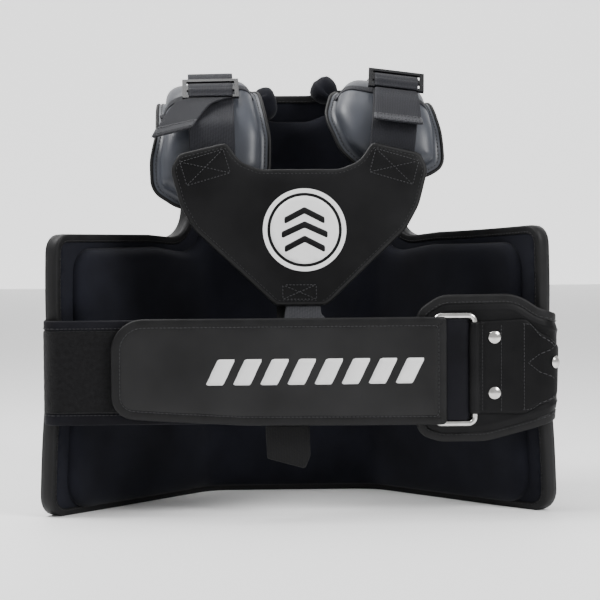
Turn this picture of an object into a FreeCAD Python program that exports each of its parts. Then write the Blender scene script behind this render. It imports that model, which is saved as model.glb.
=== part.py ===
import FreeCAD, Part
import Sketcher
import os
import re

# Chest protector (trainer's body protector) that stands on its lower edge.
# +X is to the viewer's right when looking at its back, +Y is towards the chest front, +Z is up.
# The model is laid out with Y = 0 at the yoke and belt, and every piece is then moved by
# -frame_x and -frame_y, so that the origin is at the centre of the footprint, on the surface that it stands on.

SIZES = {
    "frame_x": 4, "frame_y": 116.1,
    # plan of the front body: a flat middle and two straight wings
    "half_flat": 92, "wing_angle": 50, "wing_len": 254, "inner_y": 200, "bend_r": 45,
    # front view of the body
    "wing_top": 293, "armhole_z": 288, "armhole_x": 113, "armhole_r": 42, "shoulder_x": 106,
    "shoulder_z": 449, "neck_x": 46, "neck_low_x": 22, "neck_z": 439, "corner_r": 16,
    # layers of the body, measured outwards from the inner face
    "skin": 1.5, "board_out": 12, "face_out": 13.5, "foam_out": 40, "cover_out": 41.5,
    "pad_rise": 9, "pad_inset": 29, "pad_low": 10, "pad_high": 13, "foam_inset": 22,
    "edge_inset": 1.2, "edge_off": 7, "foam_off": 14,
    "tape": 1.2, "tape_width": 8, "lower_run": 10,
    "panel_out": 49, "panel_inset": 70, "panel_top": 300, "panel_low": 70,
    "roll_x": 38, "roll_wide": 24, "roll_deep": 24, "roll_low": 418, "roll_high": 462, "roll_r": 9,
    # yoke, drawn flat and then leaned forwards
    "yoke_x": 2.5, "yoke_y": 4, "yoke_z": 221, "yoke_lean": -8.1, "yoke_foam": 9, "yoke_tape": 6,
    "yoke_tip": 28, "yoke_mid_x": 72, "yoke_mid_z": 50, "yoke_waist_x": 128, "yoke_waist_z": 102,
    "yoke_side_x": 132, "yoke_side_z": 136, "yoke_arm_out_x": 126, "yoke_arm_out_z": 153,
    "yoke_arm_in_x": 76, "yoke_arm_in_z": 168, "yoke_neck_x": 52, "yoke_neck_z": 140,
    "badge_r": 44, "badge_z": 76, "badge_thick": 0.6, "badge_ring": 5, "badge_gap": 3,
    # shoulder pads: three runs that rise over the shoulder, drawn square and then tilted outwards
    "pad_x": 91, "pad_pivot": 400, "pad_tilt": 7, "pad_half": 58, "pad_end_half": 40, "pad_y": 56,
    "pad_z": 318, "pad_r": 30,
    "rear_rise": 76, "rear_len": 84.5, "top_rise": 40, "top_len": 57, "crest_rise": -3.5, "crest_len": 55,
    "pad_bend": 34, "base_thick": 5, "bulge": 17, "bulge_skin": 1.8, "bulge_inset": 11, "piping": 2.5,
    "piping_w": 5, "keeper_w": 16, "keeper_thick": 1.6, "keeper_at": 26,
    # shoulder webbing: up behind the yoke's arm, over the pad and the front body's top, and down its outside
    "web_left_x": -89, "web_right_x": 103, "web_left_tilt": -1, "web_right_tilt": 7,
    "web_w": 48, "web_thick": 2, "web_y": 39.5, "web_z": 352,
    "yoke_run": 57.5, "slope_rise": 42, "slope_run": 80.7, "crest_run": 112, "over_drop": -47,
    "over_run": 36, "down_run": 52, "web_bend": 10,
    "glide_w": 60, "glide_left_at": 37, "glide_right_at": 50.7, "glide_long": 30, "glide_thick": 3, "slot_w": 51, "slot_long": 8,
    "first_slot": 4, "second_slot": 18, "glide_gap": 0.6, "tail_gap": 2.2, "tail_w": 46,
    "tail_left_len": 47, "tail_right_len": 56, "tail_back": 1.5,
    "left_slant": -40, "right_slant": 3, "hem_long": 12, "end_inset": 6, "end_w": 50, "end_thick": 1.6,
    # waist closure; the ribbons' inner faces start at belt_y and patch_y and meet at the wings' tips
    "tip_turn": 40, "tip_x": 253, "tip_run": 11, "side_run": 53.2, "wing_run": 46, "tip_bend": 5,
    "belt_y": -3, "belt_end": 120, "belt_low": 98, "belt_high": 205, "belt_thick": 3, "loop_thick": 1,
    "loop_inset": 9, "flap_left": -194, "flap_right": 136.5, "flap_low": 96, "flap_high": 206,
    "flap_y": -8.4, "hook_thick": 1, "flap_core": 3, "flap_skin": 1.5, "flap_tape": 9, "flap_r": 28,
    "hook_left": -182, "hook_right": -80, "mark_left": -98, "mark_pitch": 28, "mark_w": 18,
    "mark_low": 139, "mark_high": 165, "mark_thick": 0.5,
    "hinge_x": 140, "ring_y": -11.3, "ring_low": 93, "ring_high": 211, "ring_right": 181,
    "ring_wire": 3, "ring_r": 6.5, "turn_left": 145.2, "turn_right": 174.6, "turn_low": 99.6, "turn_high": 204.4,
    "patch_left": 122, "patch_low": 77, "patch_high": 228, "patch_y": 3, "patch_foam": 6.5, "patch_tape": 8,
    "patch_r": 20, "tab_low": 106, "tab_high": 201, "tab_thick": 2.5, "tab_slant_x": 235,
    "tab_end_x": 268, "tab_end_low": 122, "tab_end_high": 174, "tab_end_y": 14,
    "loop_r": 5.6, "rivet_r": 6.5, "rivet_rise": 3, "rivet_x": 202, "rivet_high": 185, "rivet_low": 127,
    "rivet_side_z": 158, "washer_thick": 1, "anchor_low": 112, "anchor_high": 192,
    # lower webbing
    "lower_x": -13, "lower_w": 46, "lower_y": 4, "lower_top_y": 22.3, "lower_top": 246, "lower_lap": 33,
    "lower_slant": -130, "lower_step": 21.2, "lower_hinge": 94,
    "lower_end": 52, "lower_gap": 1.4,
}

doc = FreeCAD.newDocument("ChestProtector")
sheet = doc.addObject("Spreadsheet::Sheet", "Sizes")
for row, (alias, size) in enumerate(SIZES.items(), start=1):
    sheet.set(f"A{row}", alias)
    sheet.set(f"B{row}", str(size))
    sheet.setAlias(f"B{row}", alias)
doc.recompute()
exports = []


def bound(text):
    """The expression with each size's name pointed at its cell."""
    return re.sub(r"[a-z_]\w*", lambda m: f"Sizes.{m[0]}" if m[0] in SIZES else m[0], text)


def plane(body, role):
    return next(o for o in body.Origin.OriginFeatures if o.Role == role)


def rounded(body, feature, axis, rounds, sketch):
    """Rounds the pad's edges that stand on the given corners of its sketch."""
    doc.recompute()
    flat = {0: (1, 2), 1: (0, 2), 2: (0, 1)}[axis]
    corners = [sketch.getPoint(i, 1) for i in range(sketch.GeometryCount)]
    for radius, picks in rounds:
        names = []
        for pick in picks:
            for i, edge in enumerate(feature.Shape.Edges, start=1):
                ends = [v.Point for v in edge.Vertexes]
                spots = [(p[flat[0]], p[flat[1]]) for p in ends]
                near = all(abs(s[0] - corners[pick].x) + abs(s[1] - corners[pick].y) < 0.01 for s in spots)
                if len(ends) == 2 and near:
                    names.append(f"Edge{i}")
        if not names:
            continue
        fillet = body.newObject("PartDesign::Fillet", "Rounding")
        fillet.Base = (feature, names)
        fillet.setExpression("Radius", bound(radius))
        doc.recompute()
        feature = fillet
    return body


AXES = {"XY_Plane": 2, "XZ_Plane": 1, "YZ_Plane": 0}


def slab(name, role, corners, start, length, rounds=()):
    """A PartDesign body: the closed outline `corners`, padded from `start` by `length` along +axis."""
    body = doc.addObject("PartDesign::Body", name)
    sketch = body.newObject("Sketcher::SketchObject", name + "Outline")
    sketch.AttachmentSupport = [(plane(body, role), "")]
    sketch.MapMode = "FlatFace"
    count = len(corners)
    ring = Part.makeCircle(100).discretize(count + 1)
    for i in range(count):
        sketch.addGeometry(Part.LineSegment(ring[i], ring[i + 1]), False)
    for i, (across, up) in enumerate(corners):
        sketch.addConstraint(Sketcher.Constraint("Coincident", i, 2, (i + 1) % count, 1))
        for kind, text, guess in (("DistanceX", across, ring[i].x), ("DistanceY", up, ring[i].y)):
            at = sketch.addConstraint(Sketcher.Constraint(kind, -1, 1, i, 1, guess))
            sketch.setExpression(f"Constraints[{at}]", bound(text))
    # the XZ plane faces -Y, so its outline starts at the far side
    near = f"-({start}) - ({length})" if role == "XZ_Plane" else start
    sketch.setExpression(".AttachmentOffset.Base.z", bound(near))
    pad = body.newObject("PartDesign::Pad", name + "Pad")
    pad.Profile = sketch
    pad.setExpression("Length", bound(length))
    return rounded(body, pad, AXES[role], rounds, sketch)


def mix(kind, name, first, *others):
    """A chain of Part booleans: Part::Cut, Part::Fuse or Part::Common."""
    result = first
    for i, other in enumerate(others):
        joined = doc.addObject(kind, f"{name}{kind[6:]}{i}")
        joined.Base = result
        joined.Tool = other
        result = joined
    return result


def place(piece, moves=(), turn=None):
    """Binds the piece's place. `turn` is (axis, angle expression)."""
    if turn:
        piece.Placement.Rotation = FreeCAD.Rotation(FreeCAD.Vector(*turn[0]), 1)
        piece.setExpression(".Placement.Rotation.Angle", bound(turn[1]))
    for axis, text in zip("xyz", moves):
        piece.setExpression(f".Placement.Base.{axis}", bound(text))
    return piece


def keep(label, piece, moves=("0", "0", "0"), turn=None):
    """Names a finished sub-part, and moves it with the whole model."""
    piece.Label = label
    place(piece, (f"{moves[0]} - frame_x", f"{moves[1]} - frame_y", moves[2]), turn)
    exports.append(piece)
    return piece


def box(name, x, y, z, wide, deep, high):
    """A Part::Box from its lowest corner and its sizes."""
    block = doc.addObject("Part::Box", name)
    for side, text in (("Length", wide), ("Width", deep), ("Height", high)):
        block.setExpression(side, bound(text))
    return place(block, (x, y, z))


def rectangle(low_x, low_z, high_x, high_z):
    return [(low_x, low_z), (high_x, low_z), (high_x, high_z), (low_x, high_z)]


# --- front body -------------------------------------------------------------------------------
def plan(name, inner, outer, inset="0"):
    """The body's plan between two offsets from its inner face, as tall as the whole body."""
    def corner(offset, side):
        return (f"{side}(half_flat + ({offset}) * tan(wing_angle / 2))", f"inner_y + {offset}")

    def tip(offset, side):
        along = f"(wing_len - ({inset}))"
        return (f"{side}(half_flat + {along} * cos(wing_angle) + ({offset}) * sin(wing_angle))",
                f"inner_y - {along} * sin(wing_angle) + ({offset}) * cos(wing_angle)")

    corners = [tip(inner, "-"), corner(inner, "-"), corner(inner, ""), tip(inner, ""),
               tip(outer, ""), corner(outer, ""), corner(outer, "-"), tip(outer, "-")]
    rounds = [(f"bend_r + {inner}", (1, 2)), (f"bend_r + {outer}", (5, 6))]
    return slab(name, "XY_Plane", corners, "-10", "shoulder_z + 30", rounds)


def outline(name, inset, offset, low=None, high=None):
    """The body's front view, drawn in by `inset`, as wide as the wings' tips are at `offset`.

    `low` and `high` draw its lower edge and its wings' upper edges in by another amount.
    """
    tip = f"(half_flat + (wing_len - ({inset})) * cos(wing_angle) + ({offset}) * sin(wing_angle))"
    right = [(tip, low or inset), (tip, f"wing_top - ({high or inset})"),
             (f"armhole_x - ({inset})", f"armhole_z - ({high or inset})"),
             (f"shoulder_x - ({inset})", f"shoulder_z - ({inset})"),
             (f"neck_x + 0.3 * ({inset})", f"shoulder_z - ({inset})"),
             (f"neck_low_x + 0.3 * ({inset})", f"neck_z - ({inset})")]
    corners = right + [(f"-({x})", z) for x, z in reversed(right)]
    rounds = [("corner_r", (0, 1, 10, 11)), ("armhole_r", (2, 9)), ("corner_r * 0.7", (3, 8))]
    return slab(name, "XZ_Plane", corners, "-60", "inner_y + 140", rounds)


def layer(name, inner, outer, inset, tip_at="edge_off", low=None, high=None):
    """One sheet of the body: its plan and its front view in common."""
    return mix("Part::Common", name, plan(name + "Plan", inner, outer, inset),
               outline(name + "Front", inset, tip_at, low, high))


keep("inner_lining", layer("Lining", "0", "skin", "edge_inset"))
keep("core_board", layer("Board", "skin", "board_out", "edge_inset"))
keep("front_foam", layer("FrontFoam", "face_out", "foam_out", "foam_inset", "foam_off"))
face = layer("FrontFace", "board_out", "cover_out", "foam_inset - skin", "foam_off")
rim = layer("FrontRim", "board_out", "face_out", "edge_inset")
foam_room = layer("FrontRoom", "face_out", "foam_out", "foam_inset", "foam_off")
keep("front_cover", mix("Part::Cut", "FrontCover", mix("Part::Fuse", "FrontCover", rim, face), foam_room))


def lining_layer(name, thick, grow):
    """A layer of the inner pad, which reaches closer to the body's lower and upper edges than to its sides."""
    return layer(name, f"-({thick})", "0", f"pad_inset + {grow}", "edge_off", f"pad_low + {grow}", f"pad_high + {grow}")


keep("lining_foam", lining_layer("LiningFoam", "pad_rise", "skin"))
keep("lining_cover", mix("Part::Cut", "LiningCover", lining_layer("LiningSkin", "pad_rise + skin", "0"),
                         lining_layer("LiningRoom", "pad_rise", "skin")))

# the binding tape is folded round the whole edge; its lower run carries the weight
tape_block = layer("Tape", "-tape", "face_out + tape", "edge_inset - tape")
tape_window = layer("TapeWindow", "-9", "face_out + 9", "tape_width")
tape_core = layer("TapeCore", "0", "face_out", "edge_inset")


def tape_run(name, low, high):
    run = box(name + "Reach", "-400", "-100", low, "800", "500", high)
    strip = mix("Part::Common", name, tape_block, run)
    return mix("Part::Cut", name, strip, tape_window, tape_core)


keep("edge_binding_lower", tape_run("TapeLow", "-5", "lower_run + 5"))
keep("edge_binding_upper", tape_run("TapeHigh", "lower_run", "shoulder_z"))

panel_corners = [("-panel_inset", "panel_low"), ("panel_inset", "panel_low"), ("panel_inset", "panel_top"),
                 ("-panel_inset", "panel_top")]
panel_rounds = [("corner_r", (0, 1, 2, 3))]
keep("front_panel", slab("FrontPanel", "XZ_Plane", panel_corners, "inner_y + cover_out",
                         "panel_out - cover_out", panel_rounds))


def neck_roll(name, side):
    """A soft upright horn of foam beside the neckline."""
    block = box(name + "Block", f"{side}roll_x - roll_wide / 2", "inner_y - roll_deep - tape", "roll_low",
                "roll_wide", "roll_deep", "roll_high - roll_low")
    soft = doc.addObject("Part::Fillet", name)
    soft.Base = block
    doc.recompute()
    radius = sheet.roll_r
    soft.Edges = [(i + 1, radius, radius) for i in range(len(block.Shape.Edges))]
    return soft


keep("neck_roll_left", neck_roll("RollLeft", "-"))
keep("neck_roll_right", neck_roll("RollRight", ""))

# --- yoke -------------------------------------------------------------------------------------
YOKE_TURN = ((1, 0, 0), "yoke_lean")
YOKE_AT = ("yoke_x", "yoke_y", "yoke_z")


def yoke(name, inset, near, thick):
    """The yoke's outline, drawn in by `inset`, from `near` by `thick` behind its outer face."""
    right = [(f"yoke_tip - ({inset}) * 0.6", f"({inset})"),
             (f"yoke_mid_x - ({inset}) * 0.8", f"yoke_mid_z + ({inset}) * 0.4"),
             (f"yoke_waist_x - ({inset})", f"yoke_waist_z + ({inset}) * 0.2"),
             (f"yoke_side_x - ({inset})", f"yoke_side_z - ({inset}) * 0.2"),
             (f"yoke_arm_out_x - ({inset}) * 0.8", f"yoke_arm_out_z - ({inset})"),
             (f"yoke_arm_in_x + ({inset}) * 0.6", f"yoke_arm_in_z - ({inset})"),
             (f"yoke_neck_x + ({inset}) * 0.4", f"yoke_neck_z - ({inset})")]
    corners = right + [(f"-({x})", z) for x, z in reversed(right)]
    rounds = [("12", (0, 13)), ("9", (4, 5, 8, 9)), ("24", (6, 7))]
    return slab(name, "XZ_Plane", corners, near, thick, rounds)


keep("yoke_shell", yoke("YokeShell", "tape", "0", "skin"), YOKE_AT, YOKE_TURN)
keep("yoke_foam", yoke("YokeFoam", "tape", "skin", "yoke_foam"), YOKE_AT, YOKE_TURN)
keep("yoke_lining", yoke("YokeLining", "tape", "skin + yoke_foam", "skin"), YOKE_AT, YOKE_TURN)
keep("yoke_binding", mix("Part::Cut", "YokeTape",
                         yoke("YokeTapeBlock", "0", "-tape", "yoke_foam + 2 * skin + 2 * tape"),
                         yoke("YokeTapeWindow", "yoke_tape", "-9", "40"),
                         yoke("YokeTapeCore", "tape", "0", "yoke_foam + 2 * skin")), YOKE_AT, YOKE_TURN)


def disc(name, radius, near, thick, z):
    cylinder = doc.addObject("Part::Cylinder", name)
    cylinder.setExpression("Radius", bound(radius))
    cylinder.setExpression("Height", bound(thick))
    return place(cylinder, ("0", f"{near} + {thick}", z), ((1, 0, 0), "90"))


badge = mix("Part::Cut", "Badge", disc("BadgeDisc", "badge_r", "-badge_thick", "badge_thick", "badge_z"),
            disc("BadgeGap", "badge_r - badge_ring", "-badge_thick", "badge_thick + 1", "badge_z"))
badge = mix("Part::Fuse", "Badge", badge,
            disc("BadgeCentre", "badge_r - badge_ring - badge_gap", "-badge_thick", "badge_thick", "badge_z"))
keep("yoke_badge", badge, YOKE_AT, YOKE_TURN)

SIDES = (("left", "-"), ("right", ""))


# --- shoulders --------------------------------------------------------------------------------
def chain(start, runs, offset, reach, sign=1):
    """Corners of a bent strip's edge at `offset` to the left of a path of (angle, length) runs.

    The path is shortened by `reach` at both ends. `sign` is -1 to offset to the right instead.
    """
    corners = []
    across, up = start
    for i, (angle, length) in enumerate(runs):
        if i == 0:
            corners.append((f"{across} + ({reach}) * cos({angle}) - {sign} * ({offset}) * sin({angle})",
                            f"{up} + ({reach}) * sin({angle}) + {sign} * ({offset}) * cos({angle})"))
        across += f" + ({length}) * cos({angle})"
        up += f" + ({length}) * sin({angle})"
        if i < len(runs) - 1:
            middle = f"(({angle}) + ({runs[i + 1][0]})) / 2"
            share = f"{sign} * ({offset}) / cos((({runs[i + 1][0]}) - ({angle})) / 2)"
            corners.append((f"{across} - {share} * sin({middle})", f"{up} + {share} * cos({middle})"))
    corners.append((f"{across} - ({reach}) * cos({angle}) - {sign} * ({offset}) * sin({angle})",
                    f"{up} - ({reach}) * sin({angle}) + {sign} * ({offset}) * cos({angle})"))
    return corners


def bent(name, role, start, runs, near, far, low, length, bend, reach="0", sign=1):
    """A bent strip between two offsets of a path, padded along the plane's normal."""
    inner = chain(start, runs, near, reach, sign)
    outer = chain(start, runs, far, reach, sign)
    count = len(inner)
    rounds = [(f"{bend} + {near}", range(1, count - 1)), (f"{bend} + {far}", range(count + 1, 2 * count - 1))]
    return slab(name, role, inner + outer[::-1], low, length, rounds)


PAD_START = ("pad_y", "pad_z")
PAD_RUNS = [("rear_rise", "rear_len"), ("top_rise", "top_len"), ("crest_rise", "crest_len")]
WEB_START = ("web_y", "web_z")
WEB_RUNS = [("90 + yoke_lean", "yoke_run"), ("slope_rise", "slope_run"), ("crest_rise", "crest_run"),
            ("over_drop", "over_run"), ("-90", "down_run")]
# where the webbing starts down the chest front
FRONT_START = [f"{base} + " + " + ".join(f"{length} * {turn}({rise})" for rise, length in WEB_RUNS[:-1])
               for base, turn in (("web_y", "cos"), ("web_z", "sin"))]


def pad_layer(name, near, far, inset):
    """One layer of a shoulder pad, drawn in by `inset`, with a rounded rear end."""
    strip = bent(name, "YZ_Plane", PAD_START, PAD_RUNS, near, far, f"-(pad_half - ({inset}))",
                 f"2 * (pad_half - ({inset}))", "pad_bend", inset)
    half = f"(pad_half - ({inset}))"
    view = rectangle(f"-{half}", f"pad_z - 6 + ({inset})", half, "500")
    rear = slab(name + "View", "XZ_Plane", view, "-20", "300", [("pad_r", (0, 1))])
    end = f"(pad_end_half - ({inset}))"
    above = [(f"-{half}", "0"), (half, "0"), (half, "pad_y + 30"), (end, "pad_y + 95"), (end, "260"),
             (f"-{end}", "260"), (f"-{end}", "pad_y + 95"), (f"-{half}", "pad_y + 30")]
    waist = slab(name + "Plan", "XY_Plane", above, "200", "400")
    return mix("Part::Common", name, strip, rear, waist)


def at_shoulder(tilt, x):
    """Where a shoulder piece goes: tilted about a line at pad_pivot."""
    return ((f"{x} - pad_pivot * sin({tilt})", "0", f"pad_pivot * (1 - cos({tilt}))"), ((0, 1, 0), tilt))


def slope_spot(along, off):
    """Where a point on the webbing's slope is, from its distances along and off it."""
    turn = "web_y + yoke_run * cos(90 + yoke_lean)", "web_z + yoke_run * sin(90 + yoke_lean)"
    return (f"{turn[0]} + ({along}) * cos(slope_rise) - ({off}) * sin(slope_rise)",
            f"{turn[1]} + ({along}) * sin(slope_rise) + ({off}) * cos(slope_rise)")


def slope_block(name, begin, end, near, far, half):
    """A straight block on the webbing's slope, between two distances along it."""
    corners = [slope_spot(along, off) for along, off in ((begin, near), (end, near), (end, far), (begin, far))]
    return slab(name, "YZ_Plane", corners, f"-({half})", f"2 * ({half})")


def tail_plate(name, side, begin, middle):
    """A length of a strap's loose end, from `begin` to its tip, which slants off to one side."""
    length = f"tail_{side}_len"

    def across(edge, reach):
        return f"{edge}tail_w / 2 + {side}_slant * ({reach}) / {length}", f"-({reach})"

    corners = [across("-", length), across("", length), across("", begin), across("-", begin)]
    flat = doc.addObject("Part::Compound", name)
    flat.Links = [slab(name + "Plate", "XY_Plane", corners, "-web_thick / 2", "web_thick")]
    return place(flat, ("0", *slope_spot(f"glide_{side}_at - tail_back", middle)), ((1, 0, 0), "slope_rise"))


def fold_roll(name, y, z, wide, middle="0"):
    """The rounded fold that a loose strap end hinges on, as thick as the strap."""
    roll = doc.addObject("Part::Cylinder", name)
    roll.setExpression("Radius", bound("web_thick / 2"))
    roll.setExpression("Height", bound(wide))
    return place(roll, (f"{middle} - {wide} / 2", y, z), ((0, 1, 0), "90"))


for side, sign in SIDES:
    tag = side.title()
    web_at = at_shoulder(f"web_{side}_tilt", f"web_{side}_x")
    pad_at = at_shoulder(f"{sign}pad_tilt", f"{sign}pad_x")
    top = "base_thick + bulge"
    keep(f"pad_base_{side}", pad_layer("PadBase" + tag, "0", "base_thick", "0"), *pad_at)
    keep(f"pad_foam_{side}", pad_layer("PadFoam" + tag, "base_thick", f"{top} - bulge_skin", "bulge_inset"),
         *pad_at)
    skin = pad_layer("PadSkin" + tag, "base_thick", top, "bulge_inset - bulge_skin")
    cover = mix("Part::Cut", "PadCover" + tag, skin,
                pad_layer("PadRoom" + tag, "base_thick", f"{top} - bulge_skin", "bulge_inset"))
    keep(f"pad_cover_{side}", cover, *pad_at)
    rim = pad_layer("PipingBlock" + tag, "base_thick", "base_thick + piping", "0")
    piping = mix("Part::Cut", "Piping" + tag, rim, pad_layer("PipingWindow" + tag, "0", "40", "piping_w"))
    keep(f"pad_piping_{side}", piping, *pad_at)
    keeper = bent("Keeper" + tag, "YZ_Plane", ("pad_y + rear_len * cos(rear_rise) + keeper_at * cos(top_rise)",
                                              "pad_z + rear_len * sin(rear_rise) + keeper_at * sin(top_rise)"),
                  [("top_rise", "keeper_w")], top, f"{top} + keeper_thick", "-(pad_end_half - 4)",
                  "2 * (pad_end_half - 4)", "0")
    keep(f"keeper_band_{side}", keeper, *pad_at)
    webbing = bent("Webbing" + tag, "YZ_Plane", WEB_START, WEB_RUNS, "0", "web_thick", "-web_w / 2", "web_w",
                   "web_bend")
    keep(f"shoulder_webbing_{side}", webbing, *web_at)
    begin = f"glide_{side}_at"
    frame = slope_block("Glide" + tag, begin, f"{begin} + glide_long", "web_thick + glide_gap",
                        "web_thick + glide_gap + glide_thick", "glide_w / 2")
    slots = [slope_block(f"Slot{tag}{k}", f"{begin} + {at}", f"{begin} + {at} + slot_long", "0", "20", "slot_w / 2")
             for k, at in enumerate(("first_slot", "second_slot"))]
    keep(f"tri_glide_{side}", mix("Part::Cut", "GlideCut" + tag, frame, *slots), *web_at)
    tail = tail_plate("Tail" + tag, side, "0", "1.5 * web_thick + tail_gap")
    hem = tail_plate("Hem" + tag, side, f"tail_{side}_len - hem_long", "2.5 * web_thick + tail_gap")
    fold = fold_roll("Fold" + tag, *slope_spot(f"{begin} - tail_back", "1.5 * web_thick + tail_gap"), "tail_w")
    keep(f"webbing_tail_{side}", mix("Part::Fuse", "TailHem" + tag, tail, hem, fold), *web_at)
    front_end = bent("FrontEnd" + tag, "YZ_Plane", FRONT_START, [("-90", "down_run")], "web_thick",
                     "web_thick + end_thick", "-end_w / 2", "end_w", "0", "end_inset")
    keep(f"front_strap_end_{side}", front_end, *web_at)


# --- waist closure ----------------------------------------------------------------------------
def ribbon(name, side, start_x, inner_y, near, far, low, high, ends=("0", "0")):
    """A strip that starts on the back at start_x and goes round a wing's tip to its outside.

    `side` is "-" for the left wing. Offsets count outwards from the strip's inner face, and
    `ends` draws its two ends in.
    """
    first = f"tip_x - {start_x}"
    beside = f"side_run + patch_y - ({inner_y})"
    runs = [("0", first), ("tip_turn", "tip_run"), ("90", beside), ("180 - wing_angle", "wing_run")]
    start = (start_x, inner_y)
    inner = chain(start, runs, near, ends[0], -1)
    outer = chain(start, runs, far, ends[0], -1)
    corners = [(f"{side}({x})", y) for x, y in inner + outer[::-1]]
    rounds = [(f"tip_bend + {near}", (1, 2, 3)), (f"tip_bend + {far}", (6, 7, 8))]
    return slab(name, "XY_Plane", corners, low, f"({high}) - ({low})", rounds)


keep("belt_base", ribbon("Belt", "-", "-belt_end", "belt_y", "0", "belt_thick", "belt_low", "belt_high"))
keep("belt_loop_panel", slab("LoopPanel", "XZ_Plane",
                             rectangle("-tip_x + 6", "belt_low + loop_inset", "belt_end", "belt_high - loop_inset"),
                             "belt_y - belt_thick - loop_thick", "loop_thick"))


anchor_block = ribbon("AnchorBlock", "-", "200", "belt_y", "belt_thick", "belt_thick + 2", "anchor_low",
                      "anchor_high")
anchor_reach = box("AnchorReach", "-300", "inner_y - wing_len * sin(wing_angle) + 62", "0", "600", "100", "300")
keep("belt_anchor_patch", mix("Part::Common", "Anchor", anchor_block, anchor_reach))


def flap_plate(name, inset, back, thick):
    corners = rectangle(f"flap_left + {inset}", f"flap_low + {inset}", "flap_right", f"flap_high - ({inset})")
    return slab(name, "XZ_Plane", corners, f"flap_y - ({back}) - ({thick})", thick,
                [(f"flap_r - {inset}", (0, 3))])


keep("hook_pad", slab("HookPad", "XZ_Plane",
                      rectangle("hook_left", "flap_low + 14", "hook_right", "flap_high - 14"),
                      "flap_y - hook_thick", "hook_thick", [("12", (0, 3))]))
keep("closure_flap_core", flap_plate("FlapCore", "tape", "hook_thick", "flap_core"))
keep("closure_flap_face", flap_plate("FlapFace", "tape", "hook_thick + flap_core", "flap_skin"))
keep("closure_flap_binding", mix(
    "Part::Cut", "FlapTape", flap_plate("FlapTapeBlock", "0", "hook_thick - 0.4", "flap_core + flap_skin + 1"),
    flap_plate("FlapTapeWindow", "flap_tape", "-9", "30"),
    flap_plate("FlapTapeCore", "tape", "hook_thick", "flap_core + flap_skin")))

bars = []
for k in range(8):
    left = f"mark_left + {k} * mark_pitch"
    lean = "(mark_high - mark_low) / 2"
    corners = [(left, "mark_low"), (f"{left} + mark_w", "mark_low"),
               (f"{left} + mark_w + {lean}", "mark_high"), (f"{left} + {lean}", "mark_high")]
    bars.append(slab(f"MarkBar{k}", "XZ_Plane", corners,
                     "flap_y - hook_thick - flap_core - flap_skin - mark_thick", "mark_thick"))
mark = doc.addObject("Part::Compound", "FlapMark")
mark.Links = bars
keep("flap_mark", mark)

# rectangular steel ring, its wire bent at four corners and closed by a weld
ring_pieces = []
for k, (side, up) in enumerate((("right", "high"), ("left", "high"), ("left", "low"), ("right", "low"))):
    corner = doc.addObject("Part::Torus", f"RingCorner{k}")
    corner.setExpression("Radius1", bound("ring_r"))
    corner.setExpression("Radius2", bound("ring_wire"))
    corner.Angle3 = 90
    corner.Placement.Rotation = (FreeCAD.Rotation(FreeCAD.Vector(0, 1, 0), -90 * k)
                                 * FreeCAD.Rotation(FreeCAD.Vector(1, 0, 0), 90))
    x = "ring_right - ring_r" if side == "right" else "hinge_x + ring_r"
    z = "ring_high - ring_wire - ring_r" if up == "high" else "ring_low + ring_wire + ring_r"
    ring_pieces.append(place(corner, (x, "ring_y", z)))
for k, x in enumerate(("hinge_x", "ring_right")):
    bar = doc.addObject("Part::Cylinder", f"RingUpright{k}")
    bar.setExpression("Radius", bound("ring_wire"))
    bar.setExpression("Height", bound("ring_high - ring_low - 2 * (ring_wire + ring_r)"))
    ring_pieces.append(place(bar, (x, "ring_y", "ring_low + ring_wire + ring_r")))
for k, z in enumerate(("ring_low + ring_wire", "ring_high - ring_wire")):
    bar = doc.addObject("Part::Cylinder", f"RingCrossbar{k}")
    bar.setExpression("Radius", bound("ring_wire"))
    bar.setExpression("Height", bound("ring_right - hinge_x - 2 * ring_r"))
    bar.Placement.Rotation = FreeCAD.Rotation(FreeCAD.Vector(0, 1, 0), 90)
    ring_pieces.append(place(bar, ("hinge_x + ring_r", "ring_y", z)))
ring = doc.addObject("Part::MultiFuse", "Ring")
ring.Shapes = ring_pieces
keep("steel_ring", ring)

keep("belt_turn", slab("BeltTurn", "XY_Plane",
                       [("turn_left", "ring_y - 3"), ("turn_right", "ring_y - 3"), ("turn_right", "ring_y + 2.8"),
                        ("turn_left", "ring_y + 2.8")], "turn_low", "turn_high - turn_low",
                       [("2.4", (0, 1, 2, 3))]))


def patch_layer(name, near, far, inset):
    """One layer of the ring patch: a ribbon with rounded corners at its free end."""
    strip = ribbon(name, "", "patch_left", "patch_y", near, far, "patch_low - 5", "patch_high + 5",
                   (inset, inset))
    view = slab(name + "View", "XZ_Plane",
                rectangle(f"patch_left + {inset}", f"patch_low + {inset}", "400", f"patch_high - ({inset})"),
                "-60", "300", [(f"patch_r - {inset}", (0, 3))])
    return mix("Part::Common", name, strip, view)


patch_top = "2 * skin + patch_foam"
keep("ring_patch_lining", patch_layer("PatchLining", "0", "skin", "tape"))
keep("ring_patch_foam", patch_layer("PatchFoam", "skin", "skin + patch_foam", "tape"))
keep("ring_patch_face", patch_layer("PatchFace", "skin + patch_foam", patch_top, "tape"))
keep("ring_patch_binding", mix("Part::Cut", "PatchTape",
                               patch_layer("PatchTapeBlock", "0", f"{patch_top} + tape", "0"),
                               patch_layer("PatchTapeWindow", f"{patch_top} - 1", "40", "patch_tape"),
                               patch_layer("PatchTapeCore", "0", patch_top, "tape")))

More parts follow.
